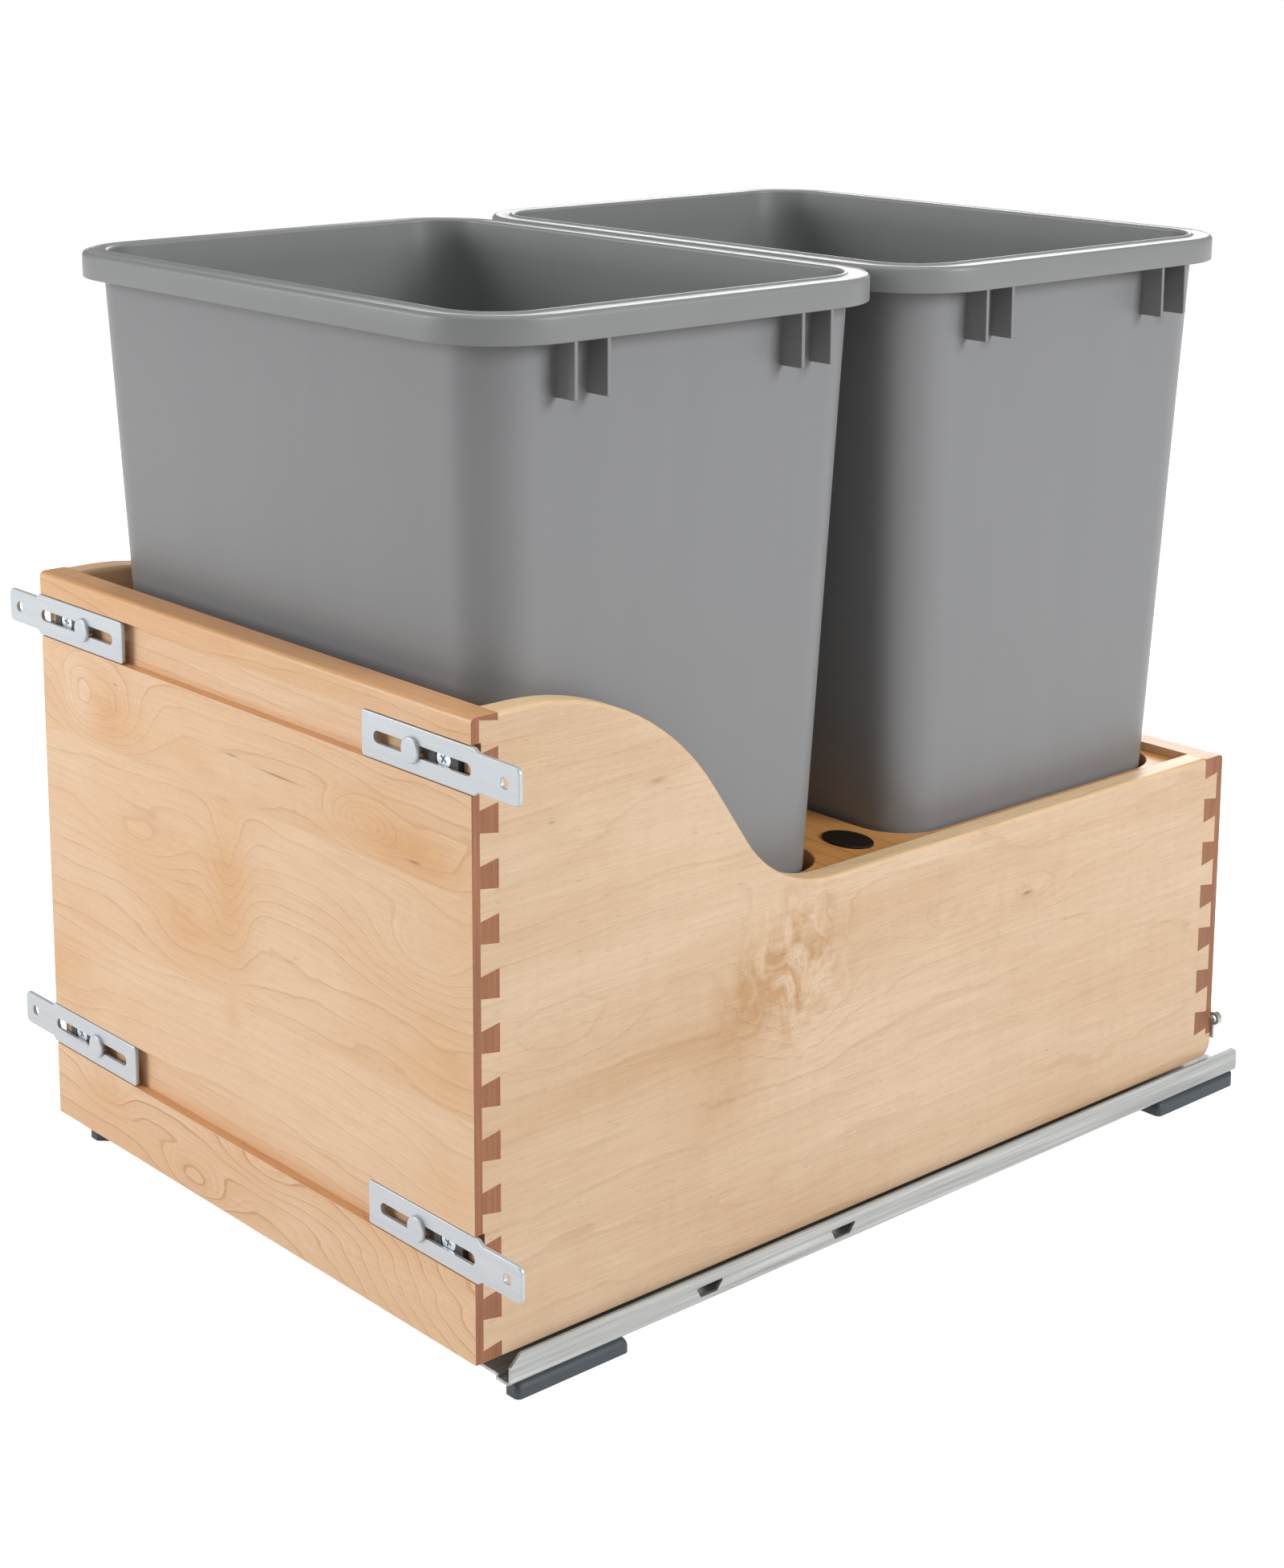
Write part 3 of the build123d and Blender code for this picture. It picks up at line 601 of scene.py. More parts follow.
    def _marked(self, g: Graph, colour: bpy.types.NodeSocket, face: bpy.types.NodeSocket,
                facing: dict[str, bpy.types.NodeSocket]) -> bpy.types.NodeSocket:
        """Add the dark streaks and the brown of curved edges.

        Args:
            g: The material's graph.
            colour: The wood's colour.
            face: The place on the board's face.
            facing: The surface normal's parts.

        Returns:
            The colour socket.
        """
        for dash in self.dashes:
            mark = g.hill(face, self._in_metres(dash.centre), self._in_metres(dash.spread, 1.0))
            colour = g.blend(g.math("MULTIPLY", mark, dash.tone), colour, linear(END_STREAK))
        lengthwise = g.math("ABSOLUTE", facing[self.axis.value[0]])
        brown = g.remap(lengthwise, 0.35, 1.0, to_high=self.end_share, smooth=True)
        return g.blend(brown, colour, linear(END_BROWN))

    def _fibred(self, g: Graph, colour: bpy.types.NodeSocket, fibre: bpy.types.Node) -> bpy.types.NodeSocket:
        """Darken fibres and pores, and add a painted sheen in stripes across the grain.

        Args:
            g: The material's graph.
            colour: The wood's colour.
            fibre: The node with the fibre, pore and painted sheen masks.

        Returns:
            The colour socket.
        """
        painted_sheen_white = (1.0, 0.93, 0.82)
        for mask, share in (("Fibre", self.fibre_share), ("Pore", self.pore_share)):
            amount = g.math("MULTIPLY", fibre.outputs[mask], share)
            colour = g.blend(amount, colour, linear(self.line), "MULTIPLY")
        # Painted sheen: warm white stripes lighten the colour across the grain.
        sheen = g.math("MULTIPLY", fibre.outputs["Shimmer"], self.shimmer)
        return g.blend(sheen, colour, painted_sheen_white, "SOFT_LIGHT")

    @staticmethod
    def _in_metres(pair: tuple[float, float], depth: float = 0.0) -> Point:
        """A place or size on the board's face as a vector in metres.

        Args:
            pair: The two values in millimetres.
            depth: The third part, in metres.

        Returns:
            The vector.
        """
        return (pair[0] * MM, pair[1] * MM, depth)

    def _staves(self, g: Graph, face: bpy.types.NodeSocket,
                across: bpy.types.NodeSocket) -> tuple[object, ...]:
        """What the glued strips and their features add up to.

        Args:
            g: The material's graph.
            face: The place on the board's face.
            across: The place across the grain.

        Returns:
            Growth rings, tone, swirl, seed and line strength, as sockets.
        """
        totals: list[object] = [0.0] * 5
        edge = 0.4 * MM
        for stave in self.staves:
            above = g.remap(across, stave.low * MM - edge, stave.low * MM + edge)
            below = g.remap(across, stave.high * MM - edge, stave.high * MM + edge, 1.0, 0.0)
            inside = g.math("MULTIPLY", above, below)
            sums: list[object] = [0.0, stave.tone, 0.0, stave.seed, stave.strength]
            for feature in stave.features:
                hill = g.hill(face, self._in_metres(feature.centre), self._in_metres(feature.spread, 1.0))
                for index, amount in enumerate((feature.rings, feature.tone, feature.swirl)):
                    if amount:
                        sums[index] = g.math("MULTIPLY_ADD", hill, amount, sums[index])
            for index, value in enumerate(sums):
                totals[index] = g.math("MULTIPLY_ADD", inside, value, totals[index])
        return tuple(totals)


@dataclass(frozen=True)
class EndGrainFinish:
    """Lacquered end grain, which drinks lacquer and turns reddish brown.

    Attributes:
        name: The material's name.
        base: The main colour, as seen.
        streak: The darker streak colour, as seen.
        gloss: Roughness.
    """

    name: str
    base: Colour = END_BROWN
    streak: Colour = END_STREAK
    gloss: float = 0.46

    def make(self) -> bpy.types.Material:
        """Build the material.

        Returns:
            The end grain material.
        """
        material, g, shader = start_material(self.name)
        place = g.add("ShaderNodeTexCoord").outputs["Object"]
        arcs = g.noise(place, (40.0, 700.0, 22.0), detail=3.0, rough=0.6, warp=0.3)
        cloud = g.noise(place, (30.0, 30.0, 16.0))
        pores = g.noise(place, (1500.0, 1500.0, 1500.0), detail=1.0)
        clouded = g.remap(cloud, 0.3, 0.7, to_high=0.3)
        share = g.math("MULTIPLY_ADD", g.remap(arcs, 0.3, 0.7), 0.6, clouded)
        colour = g.blend(share, linear(self.base), linear(self.streak))
        dots = g.remap(pores, 0.62, 0.72, to_high=0.35)
        colour = g.blend(dots, colour, linear(self.streak), "MULTIPLY")
        g.feed(shader.inputs["Base Color"], colour)
        rough = g.remap(arcs, 0.3, 0.7, self.gloss - 0.05, self.gloss + 0.06)
        g.feed(shader.inputs["Roughness"], rough)
        g.relief(shader, arcs, strength=0.3, depth=0.1 * MM)
        return material


@dataclass(frozen=True)
class PlasticFinish:
    """Moulded plastic with a fine texture.

    Attributes:
        name: The material's name.
        colour: The colour, as seen.
        tint: The colour that flow marks lean to, as seen.
        gloss: Roughness.
        grain: Texture size in millimetres.
        relief: Depth of the texture in metres.
        flow_share: How far flow marks lean to the tint.
    """

    name: str
    colour: Colour
    tint: Colour
    gloss: float = 0.45
    grain: float = 0.5
    relief: float = 0.03 * MM
    flow_share: float = 0.5

    def make(self, library: ShaderLibrary) -> bpy.types.Material:
        """Build the material.

        Args:
            library: The shared node groups.

        Returns:
            The plastic material.
        """
        material, g, shader = start_material(self.name)
        place = g.add("ShaderNodeTexCoord").outputs["Object"]
        mould = g.place(library.mould, Place=place, Grain_Size=self.grain)
        share = g.math("MULTIPLY", mould.outputs["Streak"], self.flow_share)
        g.feed(shader.inputs["Base Color"], g.blend(share, linear(self.colour), linear(self.tint)))
        rough = g.remap(mould.outputs["Height"], 0.3, 0.7, self.gloss - 0.05, self.gloss + 0.08)
        g.feed(shader.inputs["Roughness"], rough)
        g.relief(shader, mould.outputs["Height"], strength=0.6, depth=self.relief)
        return material


@dataclass(frozen=True)
class SheetFinish:
    """Plated sheet steel with rolling lines.

    Attributes:
        name: The material's name.
        colour: The colour, as seen.
        shade: The colour in the streaks, as seen.
        gloss: Roughness.
        stretch: Pattern scale along X, Y and Z, small along the rolling direction.
        metal: How metallic it is.
        line_share: How strong the rolling lines are.
        cloud_share: How strong the clouds are.
    """

    name: str
    colour: Colour
    shade: Colour
    gloss: float
    stretch: Point
    metal: float
    line_share: float = 0.45
    cloud_share: float = 0.4

    def make(self, library: ShaderLibrary) -> bpy.types.Material:
        """Build the material.

        Args:
            library: The shared node groups.

        Returns:
            The steel material.
        """
        material, g, shader = start_material(self.name)
        place = g.add("ShaderNodeTexCoord").outputs["Object"]
        rolled = g.place(library.rolled, Place=g.scaled(place, self.stretch))
        clouds = g.math("MULTIPLY", rolled.outputs["Cloud"], self.cloud_share)
        share = g.math("MULTIPLY_ADD", rolled.outputs["Line"], self.line_share, clouds)
        g.feed(shader.inputs["Base Color"], g.blend(share, linear(self.colour), linear(self.shade)))
        rough = g.remap(rolled.outputs["Line"], 0.0, 1.0, self.gloss - 0.05, self.gloss + 0.12)
        g.feed(shader.inputs["Roughness"], rough)
        shader.inputs["Metallic"].default_value = self.metal
        g.relief(shader, rolled.outputs["Line"], strength=0.3, depth=0.03 * MM)
        return material


def start_material(name: str) -> tuple[bpy.types.Material, Graph, bpy.types.Node]:
    """Start a node material with one Principled shader.

    Args:
        name: The material's name.

    Returns:
        The material, its graph and the shader node.
    """
    material = bpy.data.materials.new(name)
    material.use_nodes = True
    material.node_tree.nodes.clear()
    g = Graph(material.node_tree)
    shader = g.add("ShaderNodeBsdfPrincipled")
    output = g.add("ShaderNodeOutputMaterial")
    g.feed(output.inputs["Surface"], shader.outputs[0])
    return material, g, shader


# ---------------------------------------------------------------- finishes
FRONT_STAVES = (
    Stave(-5.0, 39.8, 0.06, 4.1, 2.1, (
        Feature((190.0, 18.0), (84.0, 60.0), rings=8.0, tone=0.10),
        Feature((-48.0, 8.0), (32.0, 13.0), rings=2.4),
        Feature((12.0, 34.0), (42.0, 12.0), rings=1.8, tone=0.05),
        Feature((-132.0, 27.0), (26.0, 9.0), rings=1.6, tone=0.45),
    )),
    Stave(39.8, 116.0, -0.16, 1.3, 0.7, (
        Feature((-170.0, 86.0), (30.0, 20.0), rings=0.8, tone=0.50),
        Feature((164.0, 82.0), (22.0, 13.0), rings=0.8, tone=0.45),
        Feature((-8.0, 107.0), (7.0, 7.0), rings=0.8, tone=0.40),
    )),
    Stave(116.0, 219.5, -0.06, 2.7, 0.95, (
        Feature((-10.0, 176.0), (17.0, 34.0), rings=3.0, tone=0.55),
        Feature((-48.0, 138.0), (42.0, 22.0), rings=1.6, tone=0.55),
        Feature((-88.0, 178.0), (54.0, 15.0), rings=2.6, tone=0.14),
        Feature((146.0, 181.0), (46.0, 20.0), rings=3.6, tone=-0.12),
        Feature((48.0, 152.0), (30.0, 28.0), tone=-0.60),
        Feature((165.0, 134.0), (28.0, 17.0), rings=0.6, tone=0.38),
    )),
    Stave(219.5, 267.0, 0.02, 0.2, 1.1, (
        Feature((-146.0, 243.0), (14.0, 17.0), rings=1.6, tone=-0.95, swirl=0.4),
        Feature((-122.0, 238.0), (40.0, 22.0), rings=4.5, tone=0.62, swirl=0.3),
        Feature((103.0, 235.0), (21.0, 10.0), rings=4.6, tone=0.05),
        Feature((145.0, 230.0), (44.0, 14.0), rings=1.6, tone=0.80),
        Feature((-20.0, 222.0), (48.0, 12.0), rings=2.0, tone=0.12),
        Feature((-40.0, 236.0), (26.0, 8.0), tone=0.20),
    )),
    # The groove floor's strip is paler: painted light against the shade in the groove.
    Stave(267.0, 289.6, -0.10, 5.6, 0.8),
    Stave(289.6, 310.0, 0.38, 6.4, 1.2),
)
FRONT_DASHES = (
    Feature((-4.0, 242.6), (4.5, 0.45), tone=0.7),
    Feature((36.0, 241.2), (14.0, 0.45), tone=0.8),
    Feature((141.0, 226.6), (4.0, 0.7), tone=0.7),
    Feature((-110.0, 255.5), (2.0, 0.5), tone=0.5),
    Feature((42.0, 151.0), (5.0, 0.6), tone=0.35),
)
RIGHT_STAVES = (
    Stave(-10.0, 310.0, -0.08, 0.0, 1.0, (
        Feature((202.0, 136.0), (27.0, 34.0), rings=1.6, tone=0.16, swirl=4.6),
        Feature((170.0, 132.0), (18.0, 20.0), tone=0.46, swirl=1.5),
        Feature((152.0, 92.0), (26.0, 34.0), tone=0.40, swirl=0.5),
        Feature((110.0, 112.0), (60.0, 14.0), tone=0.36),
        Feature((320.0, 137.0), (34.0, 11.0), rings=1.8, tone=-0.10, swirl=0.8),
        Feature((372.0, 136.0), (26.0, 9.0), rings=1.6, tone=0.16, swirl=1.0),
        Feature((50.0, 145.0), (42.0, 20.0), rings=1.6, tone=0.06, swirl=0.4),
        Feature((110.0, 238.0), (55.0, 22.0), rings=-0.8, tone=-0.10, swirl=0.3),
        # A pale strip along the low top edge: painted light on its rounded edge.
        Feature((330.0, 172.0), (170.0, 6.0), tone=-0.25),
    )),
)
RIGHT_DASHES = (
    Feature((370.5, 136.2), (3.0, 0.8), tone=0.75),
    Feature((108.0, 252.0), (5.0, 1.3), tone=0.45),
    Feature((45.0, 245.6), (2.2, 0.6), tone=0.45),
)
BACK_STAVES = (Stave(-10.0, 95.0, 0.1, 2.2), Stave(95.0, 310.0, 0.0, 7.3))
LEFT_STAVES = (Stave(-10.0, 310.0, 0.15, 3.7),)


class Finishes:
    """Every material of the object, built once."""

    def __init__(self, library: ShaderLibrary) -> None:
        """Build the materials.

        Args:
            library: The shared node groups.
        """
        self._wood(library)
        self._plastic(library)
        self._metal(library)

    def _wood(self, library: ShaderLibrary) -> None:
        """Build the woods of the box and the holder board.

        Args:
            library: The shared node groups.
        """
        golden = ((0.955, 0.815, 0.66), (0.91, 0.70, 0.47), (0.785, 0.545, 0.34))
        cream = ((0.893, 0.78, 0.655), (0.782, 0.613, 0.43), (0.655, 0.465, 0.30))
        # The amber is partly the board's own colour and partly painted light, paler to lift the shade between
        # the bins.
        amber_painted_light = ((0.95, 0.70, 0.41), (0.90, 0.60, 0.31), (0.64, 0.36, 0.17))
        self.front = BoardFinish(
            "maple_front", *golden, BoardAxis.FRONT, swing=5.5, tilt=95.0, line_share=0.38,
            staves=FRONT_STAVES, dashes=FRONT_DASHES).make(library)
        self.back = BoardFinish(
            "maple_back", *golden, BoardAxis.FRONT, swing=5.0, line_share=0.45,
            staves=BACK_STAVES).make(library)
        # Its faces that look up turn almost wholly to a colour paler than the side: painted light on its top
        # edges.
        self.side_right = BoardFinish(
            "maple_side_right", *cream, BoardAxis.SIDE, swing=3.2, tilt=42.0, line_share=0.17,
            staves=RIGHT_STAVES, dashes=RIGHT_DASHES, shimmer=0.10, top_share=0.9,
            top=(1.0, 0.86, 0.665)).make(library)
        self.side_left = BoardFinish(
            "maple_side_left", *golden, BoardAxis.SIDE, swing=3.4, tilt=38.0, line_share=0.35,
            staves=LEFT_STAVES, shimmer=0.10, top_share=0.2).make(library)
        self.holder = BoardFinish(
            "holder_board", *amber_painted_light, BoardAxis.FLAT, top_share=0.0, gloss=0.32).make(library)
        self.end = EndGrainFinish("maple_end_grain").make()

    def _plastic(self, library: ShaderLibrary) -> None:
        """Build the plastics of the bins, blocks, feet and locking devices.

        Args:
            library: The shared node groups.
        """
        self.bin = PlasticFinish(
            "bin_grey", (0.535, 0.538, 0.545), (0.52, 0.524, 0.532), gloss=0.42, grain=0.55).make(library)
        # A darker grey than the same plastic outside: painted shade inside the bins.
        self.inside = PlasticFinish(
            "bin_inside_grey", (0.47, 0.478, 0.48), (0.455, 0.463, 0.465), gloss=0.5).make(library)
        self.rim = PlasticFinish(
            "bin_rim_grey", (0.53, 0.538, 0.536), (0.515, 0.523, 0.521), gloss=0.39).make(library)
        self.black = PlasticFinish(
            "black_nylon", (0.09, 0.09, 0.09), (0.13, 0.12, 0.11), gloss=0.4).make(library)
        self.foot = PlasticFinish(
            "foot_slate", (0.25, 0.28, 0.31), (0.22, 0.25, 0.28), gloss=0.5, grain=0.7).make(library)
        self.lock = PlasticFinish(
            "lock_grey", (0.30, 0.31, 0.32), (0.26, 0.27, 0.28)).make(library)
        self.lever = PlasticFinish(
            "lever_orange", (0.85, 0.42, 0.12), (0.80, 0.38, 0.10), gloss=0.4).make(library)

    def _metal(self, library: ShaderLibrary) -> None:
        """Build the metals of the brackets, slides, screws, rollers and oval plate.

        Args:
            library: The shared node groups.
        """
        self.zinc = SheetFinish(
            "bracket_zinc", (0.787, 0.807, 0.822), (0.747, 0.769, 0.787), gloss=0.36,
            stretch=(14.0, 500.0, 600.0), metal=0.35).make(library)
        self.rail = SheetFinish(
            "rail_galvanised", (0.80, 0.81, 0.80), (0.47, 0.48, 0.48), gloss=0.34,
            stretch=(520.0, 9.0, 520.0), metal=0.6).make(library)
        self.screw = SheetFinish(
            "screw_zinc", (0.86, 0.88, 0.90), (0.74, 0.76, 0.78), gloss=0.28,
            stretch=(400.0, 400.0, 400.0), metal=0.8).make(library)
        self.plate = SheetFinish(
            "oval_bronze", (0.20, 0.175, 0.16), (0.13, 0.11, 0.10), gloss=0.38,
            stretch=(900.0, 900.0, 900.0), metal=0.6).make(library)
        self.roller = SheetFinish(
            "roller_steel", (0.82, 0.83, 0.84), (0.74, 0.75, 0.76), gloss=0.2,
            stretch=(50.0, 900.0, 900.0), metal=0.95).make(library)


# ---------------------------------------------------------------- mesh helpers
def new_piece(name: str, bm: bmesh.types.BMesh, smooth: Optional[float] = None) -> bpy.types.Object:
    """Turn mesh data into an object at the origin.

    Args:
        name: The object's name.
        bm: The mesh data, which is freed.
        smooth: The angle in degrees up to which edges look smooth, or None for flat faces.

    Returns:
        The object.
    """
    mesh = bpy.data.meshes.new(name)
    bm.to_mesh(mesh)
    bm.free()
    piece = bpy.data.objects.new(name, mesh)
    bpy.context.scene.collection.objects.link(piece)
    if smooth is not None:
        mesh.shade_smooth()
        mesh.set_sharp_from_angle(angle=math.radians(smooth))
    return piece


def baked(piece: bpy.types.Object) -> bpy.types.Object:
    """Replace a piece's mesh by its evaluated one and drop its modifiers.

    Args:
        piece: The piece with live modifiers.

    Returns:
        The same piece.
    """
    view = bpy.context.evaluated_depsgraph_get()
    mesh = bpy.data.meshes.new_from_object(piece.evaluated_get(view))
    old = piece.data
    piece.modifiers.clear()
    piece.data = mesh
    bpy.data.meshes.remove(old)
    return piece


def eased_copy(node: str, width: float, angle: float = 28.0) -> bpy.types.Object:
    """A copy of a CAD node whose sharp edges are eased by a small bevel.

    Args:
        node: The CAD node's name.
        width: The bevel's width in metres.
        angle: Edges sharper than this many degrees are eased.

    Returns:
        The new piece.
    """
    weld, flat_angle = 0.002 * MM, math.radians(0.6)
    bm = bmesh.new()
    bm.from_mesh(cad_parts[node].data)
    bmesh.ops.remove_doubles(bm, verts=bm.verts, dist=weld)
    bmesh.ops.dissolve_limit(bm, angle_limit=flat_angle, verts=bm.verts, edges=bm.edges)
    piece = new_piece(node + "_eased", bm, smooth=angle)
    bevel = piece.modifiers.new("ease", "BEVEL")
    bevel.width = width
    bevel.segments = 2
    bevel.limit_method = "ANGLE"
    bevel.angle_limit = math.radians(angle)
    bevel.harden_normals = True
    return baked(piece)


def settle(piece: bpy.types.Object, body: str, slot: str, *nodes: str) -> None:
    """Tie a finished piece to its body and hide the CAD nodes it stands for.

    Args:
        piece: The finished piece.
        body: The CAD body it moves with.
        slot: The record's material slot; not used.
        *nodes: CAD nodes that it replaces.
    """
    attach(piece, body)
    if nodes:
        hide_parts(*nodes)
    log.info("%s on %s, %d faces", piece.name, body, len(piece.data.polygons))


def dress_node(node: str, material: bpy.types.Material) -> None:
    """Give a CAD node that stays a detailed material.

    Args:
        node: The CAD node's name.
        material: The material for all its faces.
    """
    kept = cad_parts[node]
    kept.data.materials.clear()
    kept.data.materials.append(material)


def rounded_loop(half_x: float, half_y: float, radius: float, steps: int) -> list[tuple[float, float]]:
    """Points around a rounded rectangle, counter-clockwise.

    Args:
        half_x: Half the size along X.
        half_y: Half the size along Y.
        radius: Corner radius.
        steps: Points per quarter turn, less one.

    Returns:
        The points.
    """
    points = []
    corners = ((1, 1, 0.0), (-1, 1, 0.5), (-1, -1, 1.0), (1, -1, 1.5))
    for sx, sy, start in corners:
        for step in range(steps + 1):
            turn = math.pi * (start + 0.5 * step / steps)
            points.append((
                sx * (half_x - radius) + radius * math.cos(turn),
                sy * (half_y - radius) + radius * math.sin(turn),
            ))
    return points


def quarter_round(radius: float, steps: int) -> list[tuple[float, float]]:
    """A quarter circle between a flat face and an upright one.

    Args:
        radius: Its radius.
        steps: Facets along it.

    Returns:
        The distances from the upright face and from the flat one, beginning at the flat face.
    """
    turns = [math.pi / 2 * step / steps for step in range(steps + 1)]
    return [(radius * (1 - math.sin(turn)), radius * (1 - math.cos(turn))) for turn in turns]


def skin(loops: Sequence[Sequence[Point]]) -> bmesh.types.BMesh:
    """Quads between equal loops of points, closed at both ends.

    Args:
        loops: Loops with the same number of points.

    Returns:
        The mesh data, with the two end faces last.
    """
    bm = bmesh.new()
    rows = [[bm.verts.new(point) for point in loop] for loop in loops]
    count = len(rows[0])
    for low, high in zip(rows, rows[1:]):
        for i in range(count):
            j = (i + 1) % count
            bm.faces.new((low[i], low[j], high[j], high[i]))
    bm.faces.new(tuple(reversed(rows[0])))
    bm.faces.new(tuple(rows[-1]))
    bmesh.ops.recalc_face_normals(bm, faces=bm.faces)
    return bm


# ---------------------------------------------------------------- repeated pieces
class Repeater:
    """Repeats one piece over a set of places with Geometry Nodes."""

    def __init__(self) -> None:
        """Build the node tree once."""
        tree = bpy.data.node_groups.new("repeat_piece", "GeometryNodeTree")
        face = tree.interface
        face.new_socket("Geometry", in_out="INPUT", socket_type="NodeSocketGeometry")
        kinds = {
            "Piece": "Object", "Largest Turn": "Float", "Turn Axis": "Vector", "Seed": "Int",
            "Finish": "Material",
        }
        self.inputs = {}
        for label, kind in kinds.items():
            socket = face.new_socket(label, in_out="INPUT", socket_type="NodeSocket" + kind)
            self.inputs[label] = socket.identifier
        face.new_socket("Geometry", in_out="OUTPUT", socket_type="NodeSocketGeometry")
        nodes, links = tree.nodes, tree.links
        given = nodes.new("NodeGroupInput")
        result = nodes.new("NodeGroupOutput")
        info = nodes.new("GeometryNodeObjectInfo")
        amount = nodes.new("FunctionNodeRandomValue")
        amount.data_type = "FLOAT"
        amount.inputs["Min"].default_value = 0.0
        spin = nodes.new("ShaderNodeVectorMath")
        spin.operation = "SCALE"
        facing = nodes.new("GeometryNodeInputNamedAttribute")
        facing.data_type = "FLOAT_VECTOR"
        facing.inputs["Name"].default_value = "facing"
        place = nodes.new("GeometryNodeInstanceOnPoints")
        rotate = nodes.new("FunctionNodeRotateRotation")
        rotate.rotation_space = "LOCAL"
        faced = nodes.new("FunctionNodeEulerToRotation")
        turned = nodes.new("FunctionNodeEulerToRotation")
        realize = nodes.new("GeometryNodeRealizeInstances")
        finish = nodes.new("GeometryNodeSetMaterial")
        links.new(given.outputs["Geometry"], place.inputs["Points"])
        links.new(given.outputs["Piece"], info.inputs["Object"])
        links.new(info.outputs["Geometry"], place.inputs["Instance"])
        links.new(given.outputs["Largest Turn"], amount.inputs["Max"])
        links.new(given.outputs["Seed"], amount.inputs["Seed"])
        links.new(given.outputs["Turn Axis"], spin.inputs[0])
        links.new(amount.outputs["Value"], spin.inputs["Scale"])
        links.new(facing.outputs["Attribute"], faced.inputs[0])
        links.new(spin.outputs[0], turned.inputs[0])
        links.new(faced.outputs[0], rotate.inputs["Rotation"])
        links.new(turned.outputs[0], rotate.inputs["Rotate By"])
        links.new(rotate.outputs[0], place.inputs["Rotation"])
        links.new(place.outputs["Instances"], realize.inputs["Geometry"])
        links.new(realize.outputs["Geometry"], finish.inputs["Geometry"])
        links.new(given.outputs["Finish"], finish.inputs["Material"])
        links.new(finish.outputs["Geometry"], result.inputs["Geometry"])
        self.tree = tree

    def repeat(self, name: str, source: bpy.types.Object, places: Sequence[Point], facings: Sequence[Point],
               finish: bpy.types.Material, turn: float = 0.0, axis: Point = (0.0, 0.0, 1.0),
               seed: int = 7) -> bpy.types.Object:
        """Repeat a source piece and give the result as one plain mesh.

        Args:
            name: The new piece's name.
            source: The piece to repeat, modelled about its own origin; it is removed.
            places: Where the copies go, in metres.
            facings: Each copy's rotation in radians.
            finish: The material.
            turn: The largest random turn, in radians.
            axis: The axis of that turn, before facing.
            seed: Seed of the random turn.

        Returns:
            The new piece.
        """
        mesh = bpy.data.meshes.new(name)
        mesh.from_pydata([tuple(place) for place in places], [], [])
        facing = mesh.attributes.new("facing", "FLOAT_VECTOR", "POINT")
        for item, value in zip(facing.data, facings):
            item.vector = value
        piece = bpy.data.objects.new(name, mesh)
        bpy.context.scene.collection.objects.link(piece)
        modifier = piece.modifiers.new("repeat", "NODES")
        modifier.node_group = self.tree
        values = {"Piece": source, "Largest Turn": turn, "Turn Axis": axis, "Seed": seed, "Finish": finish}
        for label, value in values.items():
            modifier[self.inputs[label]] = value
        baked(piece)
        bpy.data.objects.remove(source)
        return piece


@dataclass(frozen=True)
class Fastener:
    """A turned screw or rivet that points along +Z out of its surface.

    Attributes:
        head_r: Head radius.
        head_h: Head height.
        dome: How far the head's rim is rounded.
        shank_r: Shank radius.
        recess: Width of the cross recess, or 0 for none.
        steps: Facets around it.
        dome_steps: Facets over the head's rounded rim.
        edge: The bevel under the head's rim.
        weld: Points closer than this are merged.
    """

    head_r: float
    head_h: float
    dome: float
    shank_r: float
    recess: float = 0.0
    steps: int = 40
    dome_steps: int = 6
    edge: float = 0.1 * MM
    weld: float = 0.0005 * MM

    def build(self, name: str, length: float) -> bpy.types.Object:
        """Build the fastener about its own origin, under the head.

        Args:
            name: The object's name.
            length: The shank's length below the head.

        Returns:
            The fastener.
        """
        tip_r, tip_h = self.shank_r * 0.7, self.shank_r * 0.6
        profile = [
            (0.0, -length), (tip_r, -length), (self.shank_r, tip_h - length), (self.shank_r, 0.0),
            (self.head_r - self.edge, 0.0), (self.head_r, self.edge),
        ]
        for inset, drop in reversed(quarter_round(self.dome, self.dome_steps)):
            profile.append((self.head_r - inset, self.head_h - drop))
        profile.append((0.0, self.head_h))
        bm = bmesh.new()
        verts = [bm.verts.new((r, 0.0, z)) for r, z in profile]
        edges = [bm.edges.new(pair) for pair in zip(verts, verts[1:])]
        bmesh.ops.spin(bm, geom=verts + edges, axis=(0, 0, 1), cent=(0, 0, 0), steps=self.steps,
                       angle=2 * math.pi, use_duplicate=False)
        bmesh.ops.remove_doubles(bm, verts=bm.verts, dist=self.weld)
        bmesh.ops.recalc_face_normals(bm, faces=bm.faces)
        piece = new_piece(name, bm, smooth=35.0)
        if self.recess:
            self._cut_recess(piece)
        return piece

    def _cut_recess(self, piece: bpy.types.Object) -> None:
        """Cut a tapered cross into the head.

        Args:
            piece: The fastener.
        """
        half, thin = self.recess / 2, self.recess / 9
        depth = min(self.head_h * 0.75, self.recess * 0.4)
        narrow, above = 0.62, 0.5 * MM
        arm = [(half, thin), (thin, thin), (thin, half)]
        outline = []
        for _ in range(4):
            outline += arm
            arm = [(-y, x) for x, y in arm]
        low = [(x * narrow, y * narrow, self.head_h - depth) for x, y in outline]
        top = [(x, y, self.head_h + above) for x, y in outline]
        tool = new_piece(piece.name + "_recess", skin([low, top]))
        cut = piece.modifiers.new("recess", "BOOLEAN")
        cut.operation = "DIFFERENCE"
        cut.solver = "EXACT"
        cut.object = tool
        baked(piece)
        bpy.data.objects.remove(tool)


